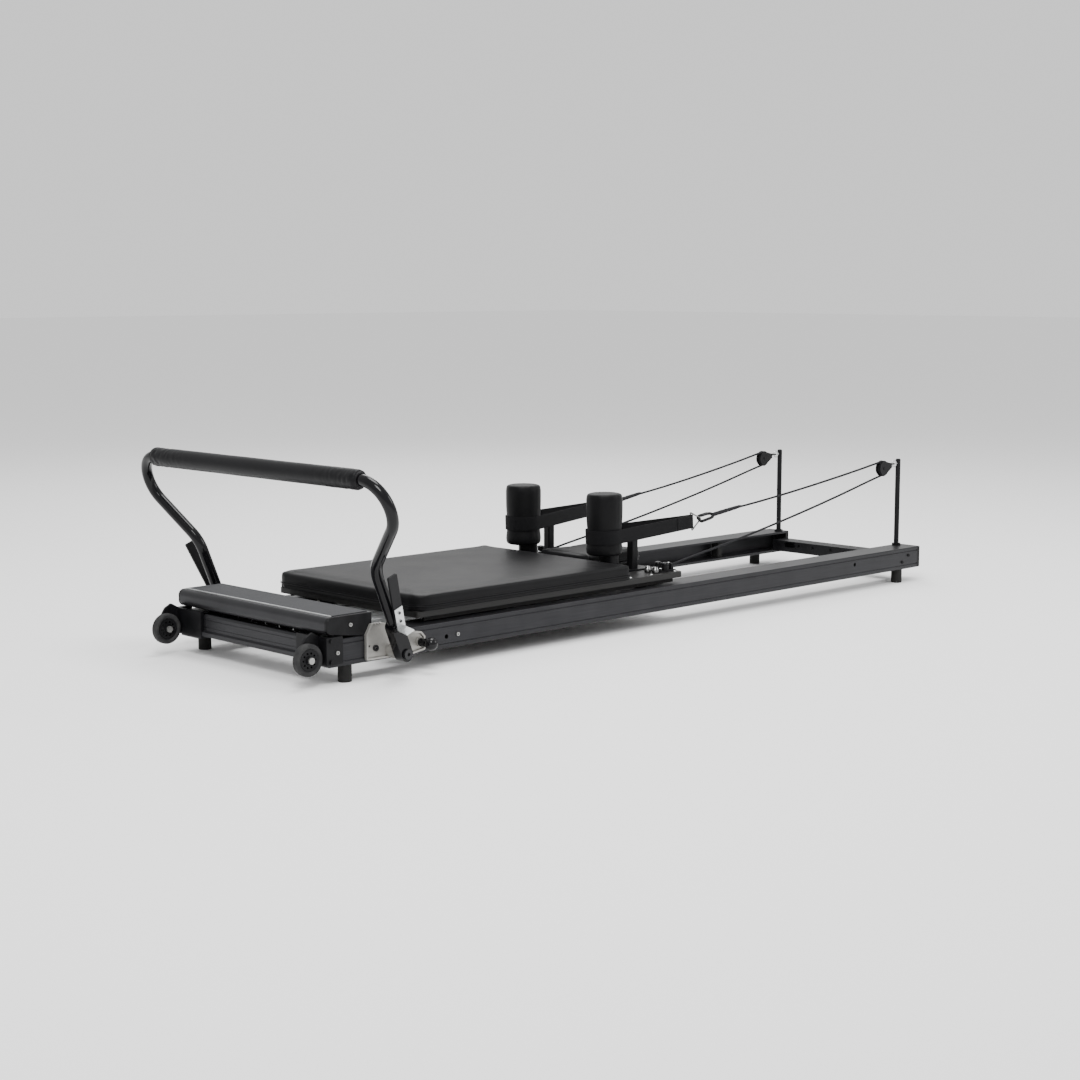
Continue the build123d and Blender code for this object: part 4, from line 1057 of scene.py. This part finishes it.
# ------------------------------------------------------------------ small hardware
@dataclass
class Hardware:
    """Trim and fasteners too small for the frame, and dark strips of painted shade under the carriage base."""

    screw_radius: float = 0.0042
    screw_height: float = 0.0024
    leg_lean: float = 21.8
    lever_tilt: float = 13.4
    hinge: tuple[float, float, float] = (-0.93507, 0.362, 0.12337)

    def button_head(self, mesh: bmesh.types.BMesh, where: Matrix, radius: float, height: float) -> None:
        """A domed screw head with a round recess."""
        profile = [(0.0, height * 0.45), (radius * 0.45, height * 0.45), (radius * 0.5, height * 0.95),
                   (radius * 0.75, height * 0.85), (radius * 0.95, height * 0.45), (radius, 0.0), (0.0, 0.0)]
        lathe(mesh, profile, where, 20)

    def build_cleats(self, wardrobe: Wardrobe) -> None:
        """Bright screws on the cleat plates and on the pads' corner plates."""
        low, high = (Vector(corner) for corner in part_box("rope_cleats"))
        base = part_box("carriage_base")[1][2]
        mesh = bmesh.new()
        for sign in SIDES.values():
            for offset in (-0.013, 0.0, 0.013):
                where = (low.x + 0.007, sign * 0.225 + offset, base + 0.0085)
                self.button_head(mesh, Matrix.Translation(where), self.screw_radius, self.screw_height)
            where = (high.x - 0.008, sign * 0.225, high.z - 0.0002)
            self.button_head(mesh, Matrix.Translation(where), self.screw_radius * 0.8, self.screw_height)
        place_piece(to_object("cleat_screws", mesh, wardrobe.get("zinc_steel")), "carriage", "zinc_steel")

    def build_platform_trim(self, wardrobe: Wardrobe) -> None:
        """The bright strip along the platform mat's front edge."""
        low, high = (Vector(corner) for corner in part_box("platform_mat"))
        mesh = bmesh.new()
        bar = bmesh.ops.create_cube(mesh, size=1.0)["verts"]
        bmesh.ops.scale(mesh, vec=(0.0032, high.y - low.y, 0.0024), verts=bar)
        bmesh.ops.translate(mesh, vec=(low.x - 0.0017, 0.0, low.z + 0.0011), verts=bar)
        bmesh.ops.bevel(mesh, geom=list(mesh.edges), offset=0.0006, segments=2, profile=0.5, affect="EDGES",
                        material=-1)
        strip = to_object("platform_edge_strip", mesh, wardrobe.get("zinc_steel"), smooth=False)
        place_piece(strip, "frame", "zinc_steel")

    def build_base_edge(self, wardrobe: Wardrobe) -> None:
        """Screw heads along the base board beside the shoulder rests."""
        low, high = (Vector(corner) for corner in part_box("carriage_base"))
        mesh = bmesh.new()
        for x in (high.x - 0.018, high.x - 0.110, high.x - 0.190):
            for sign in SIDES.values():
                where = Matrix.Translation((x, sign * (high.y - 0.014), high.z - 0.0003))
                self.button_head(mesh, where, self.screw_radius, self.screw_height)
        place_piece(to_object("base_screws", mesh, wardrobe.get("zinc_steel")), "carriage", "zinc_steel")

    def build_hooks(self, wardrobe: Wardrobe) -> None:
        """Stout bodies and gate collars of the snap hooks."""
        for side in SIDES:
            tackle = Tackle(side)
            run = tackle.upper_run
            middle = tackle.ring + run * tackle.hook_middle
            facing = run.cross(Vector((0.0, 0.71, 0.71))).normalized()
            over = facing.cross(run).normalized()
            corners = ((-0.024, -0.0095), (0.0, -0.0088), (0.024, -0.0070), (0.0282, 0.0), (0.024, 0.0070),
                       (0.0, 0.0088), (-0.024, 0.0095), (-0.0282, 0.0), (-0.024, -0.0095))
            line = tackle.smooth_line([middle + run * along + over * out for along, out in corners], 8)
            body = tube(f"hook_body_{side}", line, lambda share: 0.0041, wardrobe.get("moulded_black"), 12,
                        facing)
            place_piece(body, "carriage", "moulded_black", "snap_hooks")
            points = [middle + over * 0.0086 + run * (0.022 * step / 12 - 0.011) for step in range(13)]
            collar = tube(f"hook_collar_{side}", points,
                          lambda share: 0.0046 + 0.0002 * math.sin(share * 60.0),
                          wardrobe.get("blued_steel"), 16)
            place_piece(collar, "carriage", "blued_steel")

    def build_rings(self, wardrobe: Wardrobe) -> None:
        """Stout triangular wire rings at the straps' ends."""
        for side in SIDES:
            tackle = Tackle(side)
            ahead = tackle.upper_run
            over = (UPWARD - ahead * ahead.z).normalized()
            half = ((0.0, 0.018), (0.0, 0.0215), (0.0, 0.0245), (0.003, 0.0235), (0.018, 0.0125), (0.033, 0.004))
            mirrored = tuple((along, -out) for along, out in reversed(half))
            corners = ((0.0, 0.0), *half, (0.0365, 0.0), *mirrored, (0.0, 0.0))
            line = tackle.smooth_line([tackle.ring + ahead * along + over * out for along, out in corners], 6)
            ring = tube(f"ring_wire_{side}", line, lambda share: 0.0021, wardrobe.get("dark_chrome"), 12,
                        ahead.cross(over))
            place_piece(ring, "carriage", "dark_chrome", "strap_rings")

    def build_hinge_screws(self, wardrobe: Wardrobe) -> None:
        """Dark countersunk screws on the levers' hinge leaves."""
        lean = math.radians(self.leg_lean)
        tilt = math.radians(self.lever_tilt)
        for side, sign in SIDES.items():
            hinge = Vector((math.cos(lean), 0.0, math.sin(lean)))
            up = Vector((-math.sin(lean) * math.cos(tilt), sign * math.sin(tilt),
                         math.cos(lean) * math.cos(tilt)))
            facing = hinge.cross(up) * -sign
            turned = facing.to_track_quat("Z", "Y").to_matrix().to_4x4()
            mesh = bmesh.new()
            for step in (0.020, 0.042):
                hinge_middle = Vector((self.hinge[0], sign * self.hinge[1], self.hinge[2]))
                middle = hinge_middle + up * step + facing * 0.0061
                self.button_head(mesh, Matrix.Translation(middle) @ turned, 0.0037, 0.0012)
            screws = to_object(f"hinge_screws_{side}", mesh, wardrobe.get("blued_steel"))
            place_piece(screws, f"lever_{side}", "blued_steel")

    def build_clamps(self, wardrobe: Wardrobe) -> None:
        """Bright cord clamps beside the cleats and the cleats' domed knobs."""
        low, high = (Vector(corner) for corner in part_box("rope_cleats"))
        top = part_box("carriage_base")[1][2]
        bright, dark = bmesh.new(), bmesh.new()
        drum = [(0.0, 0.0), (0.0085, 0.0), (0.0088, 0.001), (0.0088, 0.010), (0.0070, 0.0115),
                (0.0070, 0.015), (0.0050, 0.0165), (0.0, 0.0168)]
        knob = [(0.0, 0.0), (0.0092, 0.0), (0.0098, 0.0018), (0.0090, 0.0042), (0.0060, 0.0058),
                (0.0, 0.0064)]
        for sign in SIDES.values():
            for x, y in ((low.x - 0.014, 0.240), (low.x - 0.016, 0.214)):
                lathe(bright, drum, Matrix.Translation((x, sign * y, top)), 28)
            for offset in (-0.0125, 0.0125):
                where = (low.x + 0.027, sign * 0.225 + offset, high.z - 0.0012)
                lathe(dark, knob, Matrix.Translation(where), 28)
        clamps = to_object("cord_clamps", bright, wardrobe.get("dark_chrome"))
        place_piece(clamps, "carriage", "dark_chrome")
        knobs = to_object("cleat_knobs", dark, wardrobe.get("polished_black"))
        place_piece(knobs, "carriage", "polished_black")

    def build_painted_gap_shade(self, wardrobe: Wardrobe) -> None:
        """Painted shade: dark strips under the base's long edges, just clear of the rails, that fill the shaded
        gap there.
        """
        low, high = (Vector(corner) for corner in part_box("carriage_base"))
        rail_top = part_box("rail_left")[1][2]
        mesh = bmesh.new()
        for sign in SIDES.values():
            strip = bmesh.ops.create_cube(mesh, size=1.0)["verts"]
            depth = low.z - rail_top - 0.003
            bmesh.ops.scale(mesh, vec=(high.x - low.x - 0.060, 0.004, depth), verts=strip)
            middle = ((low.x + high.x) / 2, sign * (high.y - 0.012), low.z - depth / 2)
            bmesh.ops.translate(mesh, vec=middle, verts=strip)
        # painted shade: these dark rubber-finish strips stand in for the shadow in the gap between the carriage
        # base and the rails
        place_piece(to_object("painted_gap_shade_strips", mesh, wardrobe.get("foot_rubber"), smooth=False), "carriage",
                    "foot_rubber")

    def build(self, wardrobe: Wardrobe) -> None:
        """Make every group."""
        self.build_cleats(wardrobe)
        self.build_platform_trim(wardrobe)
        self.build_base_edge(wardrobe)
        self.build_hooks(wardrobe)
        self.build_rings(wardrobe)
        self.build_hinge_screws(wardrobe)
        self.build_clamps(wardrobe)
        self.build_painted_gap_shade(wardrobe)


# ------------------------------------------------------------------ studio
@dataclass
class Studio:
    """Camera, pale floor and soft lights."""

    eye: tuple[float, float, float] = (-3.73174, -3.69112, 0.89714)
    yaw: float = 45.8176
    pitch: float = -7.5497
    lens: float = 65.087
    sensor: float = 36.0

    def build_camera(self) -> None:
        """Stand the camera where the object is seen from its foot end's left."""
        yaw, pitch = math.radians(self.yaw), math.radians(self.pitch)
        ahead = Vector((math.cos(pitch) * math.cos(yaw), math.cos(pitch) * math.sin(yaw), math.sin(pitch)))
        right = ahead.cross(Vector((0.0, 0.0, 1.0))).normalized()
        data = bpy.data.cameras.new("camera")
        data.lens = self.lens
        data.sensor_width = self.sensor
        data.clip_end = 100.0
        camera = bpy.data.objects.new("camera", data)
        turned = Matrix((right, right.cross(ahead), -ahead)).transposed().to_4x4()
        camera.matrix_world = Matrix.Translation(self.eye) @ turned
        bpy.context.scene.collection.objects.link(camera)
        bpy.context.scene.camera = camera

    def build_lights(self) -> None:
        """Three large soft lights and an even sky."""
        rigs = (("key", (-2.6, -2.2, 3.4), 1.6, 120.0), ("fill", (2.8, -3.2, 2.6), 1.8, 60.0),
                ("back", (2.2, 2.8, 3.2), 2.6, 55.0), ("top", (0.0, 0.0, 4.2), 2.2, 140.0))
        for name, place, size, power in rigs:
            data = bpy.data.lights.new(name, "AREA")
            data.shape = "DISK"
            data.size = size
            data.energy = power
            lamp = bpy.data.objects.new(name, data)
            aim = (Vector((0.0, 0.0, 0.15)) - Vector(place)).to_track_quat("-Z", "Y").to_matrix().to_4x4()
            lamp.matrix_world = Matrix.Translation(place) @ aim
            bpy.context.scene.collection.objects.link(lamp)
        world = bpy.data.worlds.new("sky")
        world.use_nodes = True
        background = world.node_tree.nodes["Background"]
        background.inputs["Color"].default_value = (1.0, 1.0, 1.0, 1.0)
        background.inputs["Strength"].default_value = 1.0
        bpy.context.scene.world = world

    def build_floor(self) -> None:
        """A wide pale floor."""
        mesh = bmesh.new()
        bmesh.ops.create_grid(mesh, x_segments=1, y_segments=1, size=40.0)
        graph = Graph("studio_floor")
        graph.shader.inputs["Base Color"].default_value = (0.93, 0.93, 0.93, 1.0)
        graph.shader.inputs["Roughness"].default_value = 0.9
        floor = to_object("studio_floor", mesh, graph.material, smooth=False)
        if floor.data.polygons[0].normal.z < 0:
            floor.data.flip_normals()

    def build(self) -> None:
        """Make camera, lights and floor."""
        self.build_camera()
        self.build_lights()
        self.build_floor()


def main() -> None:
    """Build the studio, then the machine's pieces in order."""
    logging.basicConfig(level=logging.INFO, format="%(name)s: %(message)s")
    random.seed(7)
    Studio().build()
    wardrobe = Wardrobe()
    for side in SIDES:
        tackle = Tackle(side)
        tackle.build_ropes(wardrobe)
        tackle.build_strap(wardrobe)
    wardrobe.dress_cad()
    BlockPad("carriage_pad", "carriage", 0.042, 0.012, 0.006, 0.003, 0.003, 0.006, 0.27).build(wardrobe)
    BlockPad("headrest", "headrest_cushion", 0.008, 0.030, 0.006, 0.003, 0.003, 0.0045, 0.34).build(wardrobe)
    for side in SIDES:
        ShoulderRest(side).build(wardrobe)
    BarGrip().build(wardrobe)
    SpringSet().build(wardrobe)
    Hardware().build(wardrobe)


if __name__ == "__main__":
    main()
